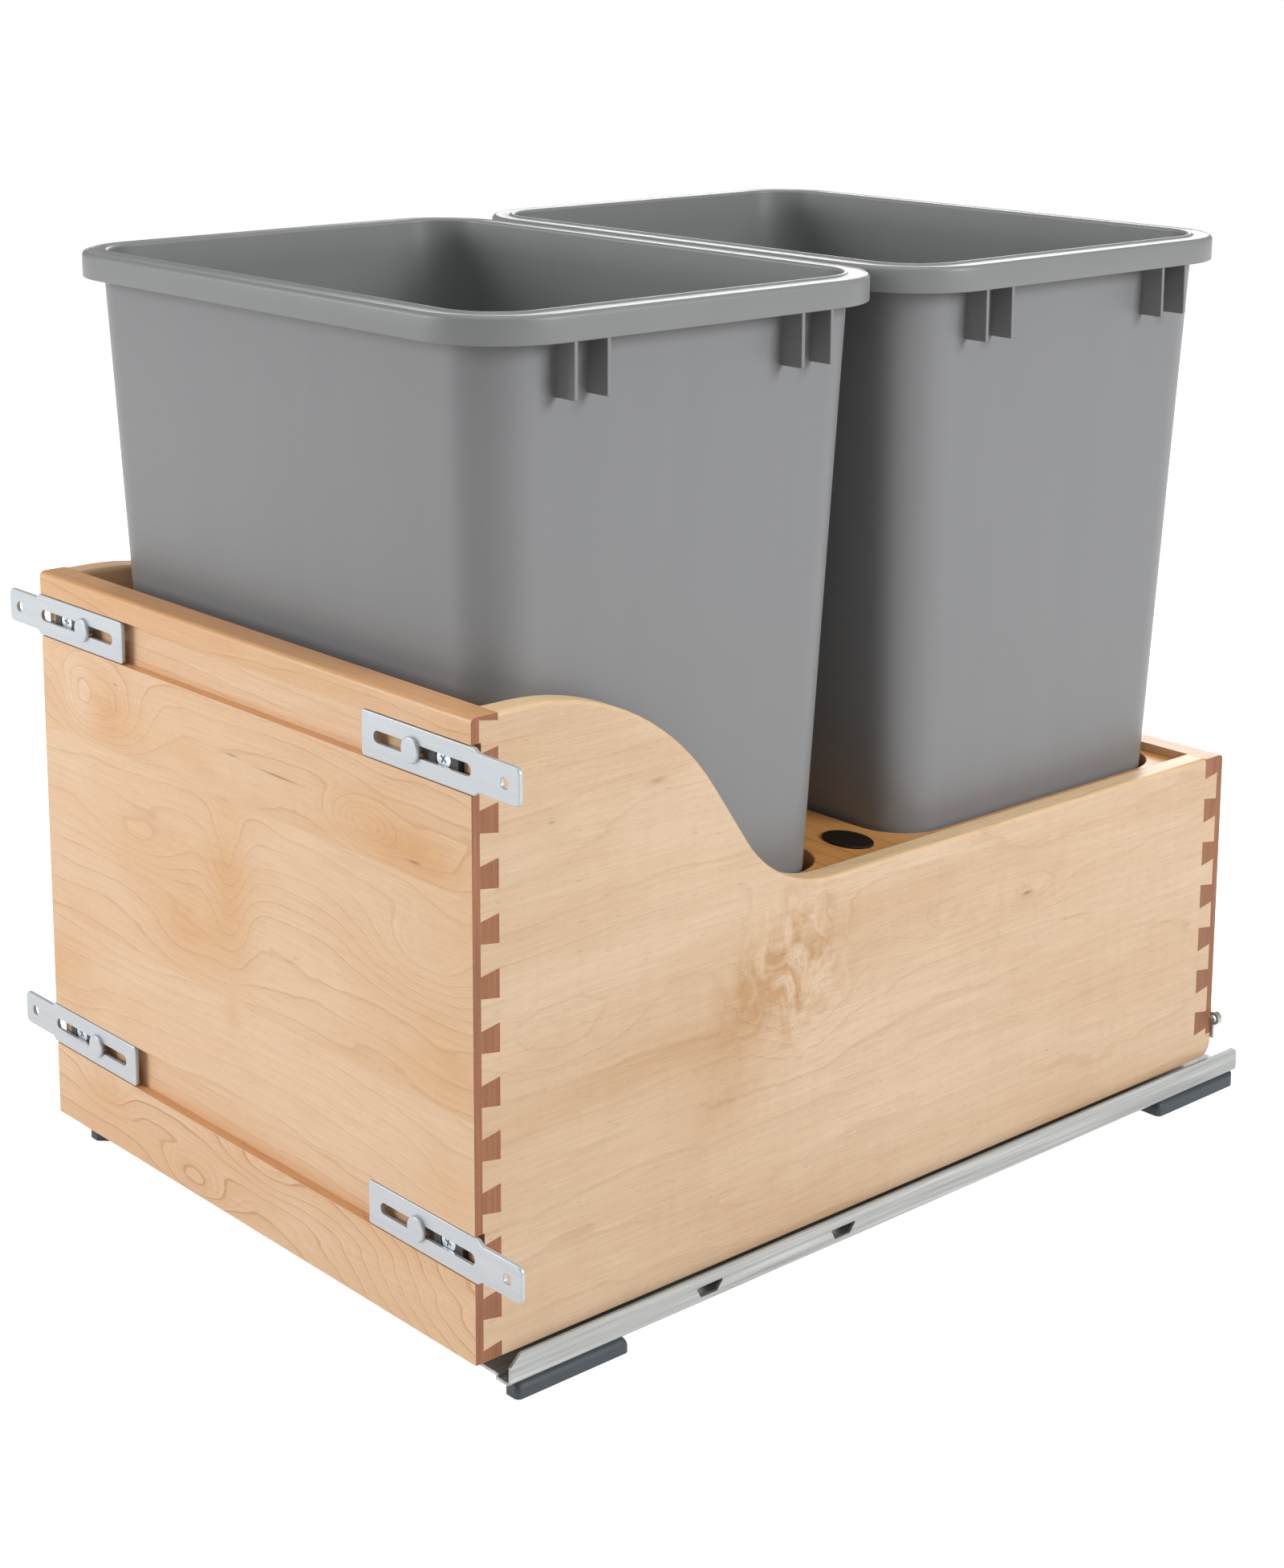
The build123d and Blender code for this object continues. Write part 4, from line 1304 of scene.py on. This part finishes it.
# ---------------------------------------------------------------- sub-assemblies
@dataclass
class WoodenBox:
    """The dovetailed box, its bottom and its bin holder.

    Attributes:
        ease: Bevel width of the wooden edges.
        end_cos: A face counts as end grain when its normal leans this far along the grain.
    """

    ease: float = 0.35 * MM
    end_cos: float = 0.97

    def build(self, finishes: Finishes) -> None:
        """Ease and dress the panels.

        Args:
            finishes: The materials.
        """
        for node, finish, along in (
            ("front_panel", finishes.front, 0),
            ("back_panel", finishes.back, 0),
            ("side_panel_left", finishes.side_left, 1),
            ("side_panel_right", finishes.side_right, 1),
        ):
            piece = eased_copy(node, self.ease)
            self._dress(piece, finish, finishes.end, along)
            settle(piece, "drawer", "maple", node)
        for node in ("bottom_panel", "bin_holder_panel"):
            piece = eased_copy(node, self.ease)
            piece.data.materials.append(finishes.holder)
            settle(piece, "drawer", "plywood", node)
        dress_node("oval_plate", finishes.plate)

    def _dress(self, piece: bpy.types.Object, face: bpy.types.Material, end: bpy.types.Material,
               along: int) -> None:
        """Give end grain faces their own material.

        Args:
            piece: The panel.
            face: The material of the long grain faces.
            end: The material of the end grain faces.
            along: The grain's axis, 0 for X and 1 for Y.
        """
        piece.data.materials.append(face)
        piece.data.materials.append(end)
        for polygon in piece.data.polygons:
            polygon.material_index = int(abs(polygon.normal[along]) > self.end_cos)


@dataclass
class BinShell:
    """A tapered bin with a wide turned-down rim and ribs below it.

    Attributes:
        body: The CAD body it lifts with.
        node: The CAD node it replaces.
        wall: Thickness of the wall.
        reach_x: How far the rim stands out from the wall at the short ends.
        reach_y: How far it stands out at the long sides.
        rim_corner: Corner radius of the rim.
        wall_corner: Corner radius of the wall at its top.
        foot_corner: Corner radius of the wall at its foot.
        foot_round: Rounding around the foot.
        floor_round: Rounding between the wall and the floor inside.
        band: Height of the turned-down rim.
        taper: How far the wall draws in for its height.
        root: The fillet where the rim leaves the wall.
        hollow: The fillet inside the turned-down rim.
        inner_edge: The bevel on the rim's lower inner edge.
        outer_edge: The rim's lower outer edge, as insets and heights in millimetres.
        shoulder: Rounding of the rim's upper outer edge.
        shoulder_drop: How far that rounding ends below the crest.
        bead: The rim's top from the outer edge to the inner wall. Each pair is a share of the width,
            0 at the inner wall, and a drop below the crest in millimetres.
        mouth: How far below the crest the inner wall is straight again.
        rib_t: Thickness of a rib.
        rib_drop: How far it hangs below the rim.
        rib_end: Distance of the outermost rib from the wall's end.
        rib_step: Distance between the two ribs of a pair.
        rib_root: How far a rib reaches into the wall.
        rib_short: How far it stays behind the rim's face.
        rib_cover: How deep it ends inside the rim.
        rib_rise: How far its full width reaches up into the rim.
        rib_corner: The bevel of its lower corner.
        rib_ease: Bevel width of its edges.
        corner_steps: Facets around a corner.
        low: The node's lower corner.
        high: Its upper corner.
        centre_y: The bin's middle along Y.
        rim_half_x: Half the rim's size along X.
        rim_half_y: Half its size along Y.
        wall_half_x: Half the wall's size along X at the rim's lower edge.
        wall_half_y: Half its size along Y there.
    """

    body: str
    node: str
    wall: float = 2.5 * MM
    reach_x: float = 13.4 * MM
    reach_y: float = 11.8 * MM
    rim_corner: float = 46.0 * MM
    wall_corner: float = 30.0 * MM
    foot_corner: float = 24.0 * MM
    foot_round: float = 5.0 * MM
    floor_round: float = 4.0 * MM
    band: float = 13.7 * MM
    taper: float = 0.0455
    root: float = 1.2 * MM
    hollow: float = 0.6 * MM
    inner_edge: float = 0.4 * MM
    outer_edge: tuple[tuple[float, float], ...] = ((0.70, 0.0), (0.15, 0.25), (0.0, 0.80))
    shoulder: float = 2.4 * MM
    shoulder_drop: float = 0.5 * MM
    bead: tuple[tuple[float, float], ...] = (
        (0.80, 0.70), (0.62, 0.95), (0.26, 1.0), (0.21, 0.90), (0.175, 0.45),
        (0.15, 0.12), (0.115, 0.0), (0.075, 0.03), (0.04, 0.25),
    )
    mouth: float = 1.6 * MM
    rib_t: float = 2.0 * MM
    rib_drop: float = 26.1 * MM
    rib_end: float = 40.2 * MM
    rib_step: float = 19.0 * MM
    rib_root: float = 2.0 * MM
    rib_short: float = 0.5 * MM
    rib_cover: float = 1.2 * MM
    rib_rise: float = 1.0 * MM
    rib_corner: float = 0.6 * MM
    rib_ease: float = 0.35 * MM
    corner_steps: int = 14
    low: Vector = field(init=False)
    high: Vector = field(init=False)
    centre_y: float = field(init=False)
    rim_half_x: float = field(init=False)
    rim_half_y: float = field(init=False)
    wall_half_x: float = field(init=False)
    wall_half_y: float = field(init=False)

    def __post_init__(self) -> None:
        """Read the node's place and size."""
        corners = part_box(self.node)
        self.low, self.high = Vector(corners[0]), Vector(corners[1])
        self.centre_y = (self.low.y + self.high.y) / 2
        self.rim_half_x = (self.high.x - self.low.x) / 2
        self.rim_half_y = (self.high.y - self.low.y) / 2
        self.wall_half_x = self.rim_half_x - self.reach_x
        self.wall_half_y = self.rim_half_y - self.reach_y

    def _loop(self, half_x: float, half_y: float, corner: float, z: float) -> list[Point]:
        """A rounded outline about the bin's middle."""
        outline = rounded_loop(half_x, half_y, corner, self.corner_steps)
        return [(x, y + self.centre_y, z) for x, y in outline]

    def _wall_loop(self, z: float, inset: float) -> list[Point]:
        """The wall's outline at one height.

        Args:
            z: The height.
            inset: How far inside the outer wall face.

        Returns:
            The loop.
        """
        shrink = self.taper * (self.high.z - self.band - z) + inset
        share = (z - self.low.z) / (self.high.z - self.low.z)
        corner = self.foot_corner + (self.wall_corner - self.foot_corner) * share - inset
        return self._loop(self.wall_half_x - shrink, self.wall_half_y - shrink, corner, z)

    def _rim_loop(self, inset: float, z: float) -> list[Point]:
        """An outline inside the rim's outer face.

        Args:
            inset: How far in.
            z: The height.

        Returns:
            The loop.
        """
        return self._loop(self.rim_half_x - inset, self.rim_half_y - inset, self.rim_corner - inset, z)

    def _crest_loop(self, share: float, z: float) -> list[Point]:
        """An outline on the rim's top, between the inner wall and the outer face.

        Args:
            share: 0 at the inner wall, 1 at the outer face.
            z: The height.

        Returns:
            The loop.
        """
        inner = self._wall_loop(self.high.z, self.wall)
        outer = self._rim_loop(0.0, z)
        return [(a[0] + (b[0] - a[0]) * share, a[1] + (b[1] - a[1]) * share, z) for a, b in zip(inner, outer)]

    def _outside(self) -> list[list[Point]]:
        """The loops from the foot up to the rim.

        Returns:
            The loops.
        """
        foot, under = self.low.z, self.high.z - self.wall
        loops = [self._wall_loop(foot + rise, inset) for inset, rise in quarter_round(self.foot_round, 4)]
        for share in (0.2, 0.4, 0.6, 0.8):
            loops.append(self._wall_loop(foot + (under - foot) * share, 0.0))
        loops.append(self._wall_loop(under - self.root, 0.0))
        return loops

    def _rim(self) -> list[list[Point]]:
        """The loops from under the rim, round its lip and over its top.

        Returns:
            The loops.
        """
        top = self.high.z
        under, lip = top - self.wall, top - self.band
        loops = [
            self._wall_loop(under, -self.root),
            self._rim_loop(self.wall + self.hollow, under),
            self._rim_loop(self.wall, under - self.hollow),
            self._rim_loop(self.wall, lip + self.inner_edge),
            self._rim_loop(self.wall - self.inner_edge, lip),
        ]
        for inset, rise in self.outer_edge:
            loops.append(self._rim_loop(inset * MM, lip + rise * MM))
        for inset, drop in reversed(quarter_round(self.shoulder, 6)):
            loops.append(self._rim_loop(inset, top - self.shoulder_drop - drop))
        for share, drop in self.bead:
            loops.append(self._crest_loop(share, top - drop * MM))
        loops.append(self._wall_loop(top - self.mouth / 2, self.wall - 0.2 * MM))
        loops.append(self._wall_loop(top - self.mouth, self.wall))
        return loops

    def _inside(self) -> list[list[Point]]:
        """The loops from the rim down to the inner floor.

        Returns:
            The loops.
        """
        floor = self.low.z + self.wall
        room = self.high.z - floor
        loops = [self._wall_loop(floor + room * share, self.wall) for share in (0.96, 0.8, 0.6, 0.4, 0.2)]
        for inset, rise in reversed(quarter_round(self.floor_round, 4)):
            loops.append(self._wall_loop(floor + rise, self.wall + inset))
        return loops

    def build(self, finishes: Finishes, repeater: Repeater) -> None:
        """Build the shell and its ribs.

        Args:
            finishes: The materials.
            repeater: Repeats the ribs.
        """
        outside, rim, inside = self._outside(), self._rim(), self._inside()
        shell = new_piece(self.node + "_shell", skin(outside + rim + inside), smooth=40.0)
        # The inside's darker grey is painted shade.
        for finish in (finishes.bin, finishes.rim, finishes.inside):
            shell.data.materials.append(finish)
        rim_from = len(outside)
        rim_to = rim_from + len(rim) - 1
        for index, polygon in enumerate(shell.data.polygons):
            row = index // len(rim[0])
            polygon.material_index = int(row >= rim_from) + int(row >= rim_to)
        settle(shell, self.body, "bin_plastic", self.node)
        settle(self._ribs(finishes, repeater), self.body, "bin_plastic")

    def _ribs(self, finishes: Finishes, repeater: Repeater) -> bpy.types.Object:
        """The upright plates under the rim's short ends.

        Args:
            finishes: The materials.
            repeater: Repeats the rib.

        Returns:
            All ribs as one piece.
        """
        lip = self.high.z - self.band
        start, end = self.wall_half_x - self.rib_root, self.rim_half_x - self.rib_short
        inner, crest = self.rim_half_x - self.rib_cover, self.high.z - self.rib_cover
        foot, neck = lip - self.rib_drop, lip + self.rib_rise
        outline = [
            (start, foot), (end - self.rib_corner, foot), (end, foot + self.rib_corner), (end, neck),
            (inner, neck), (inner, crest), (start + self.rib_corner, crest),
        ]
        faces = [[(x, side.value * self.rib_t / 2, z) for x, z in outline] for side in Side]
        rib = new_piece(self.node + "_rib", skin(faces))
        far = self.wall_half_y - self.rib_end
        places, facings = [], []
        for offset in (-far, self.rib_step - far, far - self.rib_step, far):
            for turn in (0.0, math.pi):
                places.append((0.0, self.centre_y + offset, 0.0))
                facings.append((0.0, 0.0, turn))
        ribs = repeater.repeat(self.node + "_ribs", rib, places, facings, finishes.bin)
        ease = ribs.modifiers.new("ease", "BEVEL")
        ease.width = self.rib_ease
        ease.segments = 2
        return baked(ribs)


@dataclass
class DoorBrackets:
    """The four slotted brackets with their shoulder screws, clamp blocks and clamp screws.

    Attributes:
        ease: Bevel width of the brackets' edges.
        ease_angle: Their edges sharper than this many degrees are eased.
        block_ease: Bevel width of the clamp blocks' edges.
        shoulder_screw: The screw that guides a bracket, its head as high as the frame gives it.
        clamp_screw: The cross-head screw in a clamp block.
        clamp_sink: How far the clamp screws' heads lie behind the plate.
        head_play: The gap between a shoulder screw's head and the plate that slides under it.
        levels: The words for the two rows of brackets.
    """

    ease: float = 0.25 * MM
    ease_angle: float = 35.0
    block_ease: float = 0.3 * MM
    shoulder_screw: Fastener = Fastener(
        head_r=6.2 * MM, head_h=1.8 * MM, dome=0.9 * MM, shank_r=2.6 * MM, steps=64)
    clamp_screw: Fastener = Fastener(
        head_r=5.1 * MM, head_h=1.7 * MM, dome=0.5 * MM, shank_r=2.0 * MM, recess=5.4 * MM)
    clamp_sink: float = 0.2 * MM
    head_play: float = 0.03 * MM
    levels: tuple[str, str] = ("upper", "lower")

    def build(self, finishes: Finishes, repeater: Repeater) -> None:
        """Build and dress the brackets and their fasteners.

        Args:
            finishes: The materials.
            repeater: Repeats the screws.
        """
        heights = []
        for level in self.levels:
            for side in Side:
                node = f"door_bracket_{level}_{side.word}"
                piece = eased_copy(node, self.ease, self.ease_angle)
                piece.data.materials.append(finishes.zinc)
                settle(piece, f"{level}_{side.word}_bracket", "zinc_steel", node)
            low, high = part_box(node)
            heights.append((low[2] + high[2]) / 2)
        blocks = eased_copy("bracket_clamp_blocks", self.block_ease)
        blocks.data.materials.append(finishes.black)
        settle(blocks, "drawer", "black_plastic", "bracket_clamp_blocks")
        self._shoulder_screws(finishes, repeater, heights, front=low[1])
        self._clamp_screws(finishes, repeater, heights, behind=high[1])

    def _shoulder_screws(self, finishes: Finishes, repeater: Repeater, heights: Sequence[float],
                         front: float) -> None:
        """The screws that guide the brackets.

        Args:
            finishes: The materials.
            repeater: Repeats the screw.
            heights: The two rows' heights.
            front: The plates' front face along Y.
        """
        low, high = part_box("bracket_shoulder_screws")
        seat = front - self.head_play
        x = high[0] - self.shoulder_screw.head_r
        places = [(side.value * x, seat, z) for z in heights for side in Side]
        fitted = replace(self.shoulder_screw, head_h=seat - low[1])
        screw = fitted.build("shoulder_screw", high[1] - seat)
        group = repeater.repeat(
            "bracket_shoulder_screws_turned", screw, places, [TO_THE_FRONT] * len(places), finishes.zinc)
        settle(group, "drawer", "zinc_steel", "bracket_shoulder_screws")

    def _clamp_screws(self, finishes: Finishes, repeater: Repeater, heights: Sequence[float],
                      behind: float) -> None:
        """The cross-head screws in the clamp blocks.

        Args:
            finishes: The materials.
            repeater: Repeats the screw.
            heights: The two rows' heights.
            behind: The plates' back face along Y.
        """
        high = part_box("bracket_clamp_screws")[1]
        seat = behind + self.clamp_sink + self.clamp_screw.head_h
        x = high[0] - self.clamp_screw.head_r
        places = [(side.value * x, seat, z) for z in heights for side in Side]
        screw = self.clamp_screw.build("clamp_screw", high[1] - seat)
        group = repeater.repeat(
            "bracket_clamp_screws_turned", screw, places, [TO_THE_FRONT] * len(places), finishes.screw,
            turn=SCREW_TURN, seed=3)
        settle(group, "drawer", "screw_steel", "bracket_clamp_screws")


@dataclass
class Slides:
    """The slides with their feet, rollers, rear tabs and locking devices.

    Attributes:
        sheet_ease: Bevel width of the steel profiles' edges.
        part_ease: Bevel width of the feet's and levers' edges.
        lock_ease: Bevel width of the locking devices' edges.
        ease_angle: Edges sharper than this many degrees are eased.
        rivet: The rivet between a rail and its feet.
        rivet_step: Distance between a foot's two rivets.
        tab_screw: The screw of a rear tab.
        lock_screw: The screw of a locking device.
        lock_screw_step: Distance between the two screws of a locking device.
    """

    sheet_ease: float = 0.2 * MM
    part_ease: float = 0.5 * MM
    lock_ease: float = 0.4 * MM
    ease_angle: float = 35.0
    rivet: Fastener = Fastener(
        head_r=3.2 * MM, head_h=1.2 * MM, dome=0.9 * MM, shank_r=1.8 * MM, steps=24)
    rivet_step: float = 44.0 * MM
    tab_screw: Fastener = Fastener(
        head_r=3.2 * MM, head_h=1.6 * MM, dome=1.0 * MM, shank_r=1.6 * MM, recess=3.4 * MM)
    lock_screw: Fastener = Fastener(
        head_r=2.8 * MM, head_h=1.6 * MM, dome=0.9 * MM, shank_r=1.5 * MM, recess=3.0 * MM)
    lock_screw_step: float = 12.0 * MM

    def build(self, finishes: Finishes, repeater: Repeater) -> None:
        """Build and dress both slides.

        Args:
            finishes: The materials.
            repeater: Repeats the fasteners.
        """
        sheet, part = self.sheet_ease, self.part_ease
        for side in Side:
            word = side.word
            for name, body, slot, finish, width in (
                ("cabinet_rail", "base", "slide_steel", finishes.rail, sheet),
                ("rail_foot_front", "base", "foot_plastic", finishes.foot, part),
                ("rail_foot_rear", "base", "foot_plastic", finishes.foot, part),
                ("intermediate_member", "intermediate_" + word, "slide_steel", finishes.rail, sheet),
                ("drawer_member", "drawer", "slide_steel", finishes.rail, sheet),
                ("rear_tab", "drawer", "slide_steel", finishes.rail, sheet),
                ("locking_housing", "drawer", "lock_plastic", finishes.lock, self.lock_ease),
                ("locking_lever", word + "_lock_lever", "lever_plastic", finishes.lever, part),
            ):
                piece = eased_copy(f"{name}_{word}", width, self.ease_angle)
                piece.data.materials.append(finish)
                settle(piece, body, slot, f"{name}_{word}")
            for level in ("lower", "upper"):
                dress_node(f"{level}_cage_{word}", finishes.black)
                dress_node(f"{level}_rollers_{word}", finishes.roller)
        self._rivets(finishes, repeater)
        self._tab_screws(finishes, repeater)
        self._lock_screws(finishes, repeater)

    def _rivets(self, finishes: Finishes, repeater: Repeater) -> None:
        """The rivets between rails and feet.

        Args:
            finishes: The materials.
            repeater: Repeats the rivet.
        """
        low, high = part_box("rail_foot_rivets")
        head_r = self.rivet.head_r
        seat = high[2] - self.rivet.head_h
        first, last = low[1] + head_r, high[1] - head_r
        rows = (first, first + self.rivet_step, last - self.rivet_step, last)
        places = [(side.value * (high[0] - head_r), y, seat) for y in rows for side in Side]
        rivet = self.rivet.build("foot_rivet", seat - low[2])
        group = repeater.repeat(
            "rail_foot_rivets_turned", rivet, places, [UPWARDS] * len(places), finishes.screw)
        settle(group, "base", "screw_steel", "rail_foot_rivets")

    def _tab_screws(self, finishes: Finishes, repeater: Repeater) -> None:
        """The screws of the rear tabs.

        Args:
            finishes: The materials.
            repeater: Repeats the screw.
        """
        low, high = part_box("rear_tab_screws")
        head_r = self.tab_screw.head_r
        seat = high[1] - self.tab_screw.head_h
        rows = (low[2] + head_r, high[2] - head_r)
        places = [(side.value * (high[0] - head_r), seat, z) for z in rows for side in Side]
        screw = self.tab_screw.build("tab_screw", seat - low[1])
        group = repeater.repeat(
            "rear_tab_screws_turned", screw, places, [TO_THE_BACK] * len(places), finishes.screw,
            turn=SCREW_TURN, seed=5)
        settle(group, "drawer", "screw_steel", "rear_tab_screws")

    def _lock_screws(self, finishes: Finishes, repeater: Repeater) -> None:
        """The screws of the locking devices.

        Args:
            finishes: The materials.
            repeater: Repeats the screw.
        """
        low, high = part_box("locking_screws")
        seat = low[2] + self.lock_screw.head_h
        outer = high[0] - self.lock_screw.head_r
        y = (low[1] + high[1]) / 2
        places = [(side.value * x, y, seat) for x in (outer, outer - self.lock_screw_step) for side in Side]
        screw = self.lock_screw.build("lock_screw", high[2] - seat)
        group = repeater.repeat(
            "locking_screws_turned", screw, places, [DOWNWARDS] * len(places), finishes.screw,
            turn=SCREW_TURN, seed=9)
        settle(group, "drawer", "screw_steel", "locking_screws")


# ---------------------------------------------------------------- studio
@dataclass(frozen=True)
class Lamp:
    """A square soft lamp that faces the object.

    Attributes:
        name: Its name.
        place: Where it hangs.
        size: Its side length.
        power: Its power in watts.
    """

    name: str
    place: Point
    size: float
    power: float

    def hang(self, aim: Vector) -> None:
        """Add the lamp to the scene.

        Args:
            aim: The point it faces.
        """
        data = bpy.data.lights.new(self.name, "AREA")
        data.shape = "SQUARE"
        data.size = self.size
        data.energy = self.power
        lamp = bpy.data.objects.new(self.name, data)
        lamp.location = self.place
        lamp.rotation_euler = (aim - Vector(self.place)).to_track_quat("-Z", "Y").to_euler()
        bpy.context.scene.collection.objects.link(lamp)


@dataclass
class Studio:
    """Camera, floor, world and lamps.

    Attributes:
        camera_at: Where the camera stands.
        camera_turn: Its rotation in degrees.
        lens: Focal length on the sensor.
        sensor: Width of the sensor in millimetres.
        shift_y: How far the frame is shifted, in frame heights.
        floor_half: Half the floor's side length.
        floor_drop: How far the floor lies below the feet.
        floor_grey: How much of the light the floor throws back.
        floor_lift: What is added where the floor is seen, which makes it white.
        world_tint: The colour of the light from all around.
        world_light: Its strength.
        aim: The point that the lamps face.
        lamps: The lamps.
    """

    camera_at: Point = (1.09119, -0.98898, 0.66071)
    camera_turn: Point = (78.8315, -0.2228, 48.3376)
    lens: float = 64.073
    sensor: float = 36.0
    shift_y: float = -0.2
    floor_half: float = 15.0
    floor_drop: float = 0.5 * MM
    floor_grey: float = 0.6
    floor_lift: float = 0.88
    world_tint: Colour = (1.0, 0.995, 0.985)
    world_light: float = 0.26
    aim: Point = (0.0, 0.0, 0.2)
    lamps: tuple[Lamp, ...] = (
        Lamp("overhead", (0.2, -0.3, 2.4), 1.8, 15.4),
        Lamp("front_left", (-1.6, -2.3, 1.1), 1.3, 43.56),
        Lamp("right", (2.4, 0.7, 1.35), 1.1, 44.88),
        Lamp("behind", (-1.7, 2.0, 1.3), 1.3, 26.4),
    )

    def build(self) -> None:
        """Set up the whole studio."""
        self._camera()
        self._floor()
        self._world()
        for lamp in self.lamps:
            lamp.hang(Vector(self.aim))
        bpy.context.scene.view_settings.view_transform = "Standard"

    def _camera(self) -> None:
        """Stand the camera where the photograph was taken."""
        data = bpy.data.cameras.new("camera")
        data.lens = self.lens
        data.sensor_width = self.sensor
        data.sensor_fit = "AUTO"
        data.shift_y = self.shift_y
        data.clip_end = 50.0
        camera = bpy.data.objects.new("camera", data)
        camera.location = self.camera_at
        camera.rotation_euler = tuple(math.radians(turn) for turn in self.camera_turn)
        bpy.context.scene.collection.objects.link(camera)
        bpy.context.scene.camera = camera

    def _floor(self) -> None:
        """A pale floor that keeps the object's shadow and is clear from below."""
        bm = bmesh.new()
        lowered = Matrix.Translation((0.0, 0.0, -self.floor_drop))
        bmesh.ops.create_grid(bm, x_segments=1, y_segments=1, size=self.floor_half, matrix=lowered)
        floor = new_piece("studio_floor", bm)
        material = bpy.data.materials.new("floor_white")
        material.use_nodes = True
        material.node_tree.nodes.clear()
        g = Graph(material.node_tree)
        paper = g.add("ShaderNodeBsdfDiffuse")
        g.feed(paper.inputs["Color"], (self.floor_grey,) * 3)
        rays = g.add("ShaderNodeLightPath")
        seen = g.math("MAXIMUM", rays.outputs["Is Camera Ray"], rays.outputs["Is Glossy Ray"])
        lift = g.add("ShaderNodeEmission")
        g.feed(lift.inputs["Strength"], g.math("MULTIPLY", seen, self.floor_lift))
        both = g.add("ShaderNodeAddShader")
        g.feed(both.inputs[0], paper.outputs[0])
        g.feed(both.inputs[1], lift.outputs[0])
        clear = g.add("ShaderNodeMixShader")
        g.feed(clear.inputs[0], g.add("ShaderNodeNewGeometry").outputs["Backfacing"])
        g.feed(clear.inputs[1], both.outputs[0])
        g.feed(clear.inputs[2], g.add("ShaderNodeBsdfTransparent").outputs[0])
        output = g.add("ShaderNodeOutputMaterial")
        g.feed(output.inputs["Surface"], clear.outputs[0])
        floor.data.materials.append(material)

    def _world(self) -> None:
        """A white surround that shows as white and lights softly."""
        world = bpy.data.worlds.new("studio_world")
        bpy.context.scene.world = world
        world.use_nodes = True
        world.node_tree.nodes.clear()
        g = Graph(world.node_tree)
        light = g.add("ShaderNodeBackground")
        g.feed(light.inputs["Color"], self.world_tint)
        light.inputs["Strength"].default_value = self.world_light
        seen = g.add("ShaderNodeBackground")
        g.feed(seen.inputs["Color"], (1.0, 1.0, 1.0))
        mix = g.add("ShaderNodeMixShader")
        g.feed(mix.inputs[0], g.add("ShaderNodeLightPath").outputs["Is Camera Ray"])
        g.feed(mix.inputs[1], light.outputs[0])
        g.feed(mix.inputs[2], seen.outputs[0])
        output = g.add("ShaderNodeOutputWorld")
        g.feed(output.inputs["Surface"], mix.outputs[0])


def main() -> None:
    """Build the object and the studio."""
    logging.basicConfig(level=logging.INFO, format="%(message)s")
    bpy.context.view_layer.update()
    finishes = Finishes(ShaderLibrary())
    repeater = Repeater()
    WoodenBox().build(finishes)
    BinShell("front_bin", "bin_front").build(finishes, repeater)
    BinShell("rear_bin", "bin_rear").build(finishes, repeater)
    DoorBrackets().build(finishes, repeater)
    Slides().build(finishes, repeater)
    Studio().build()


if __name__ == "__main__":
    main()
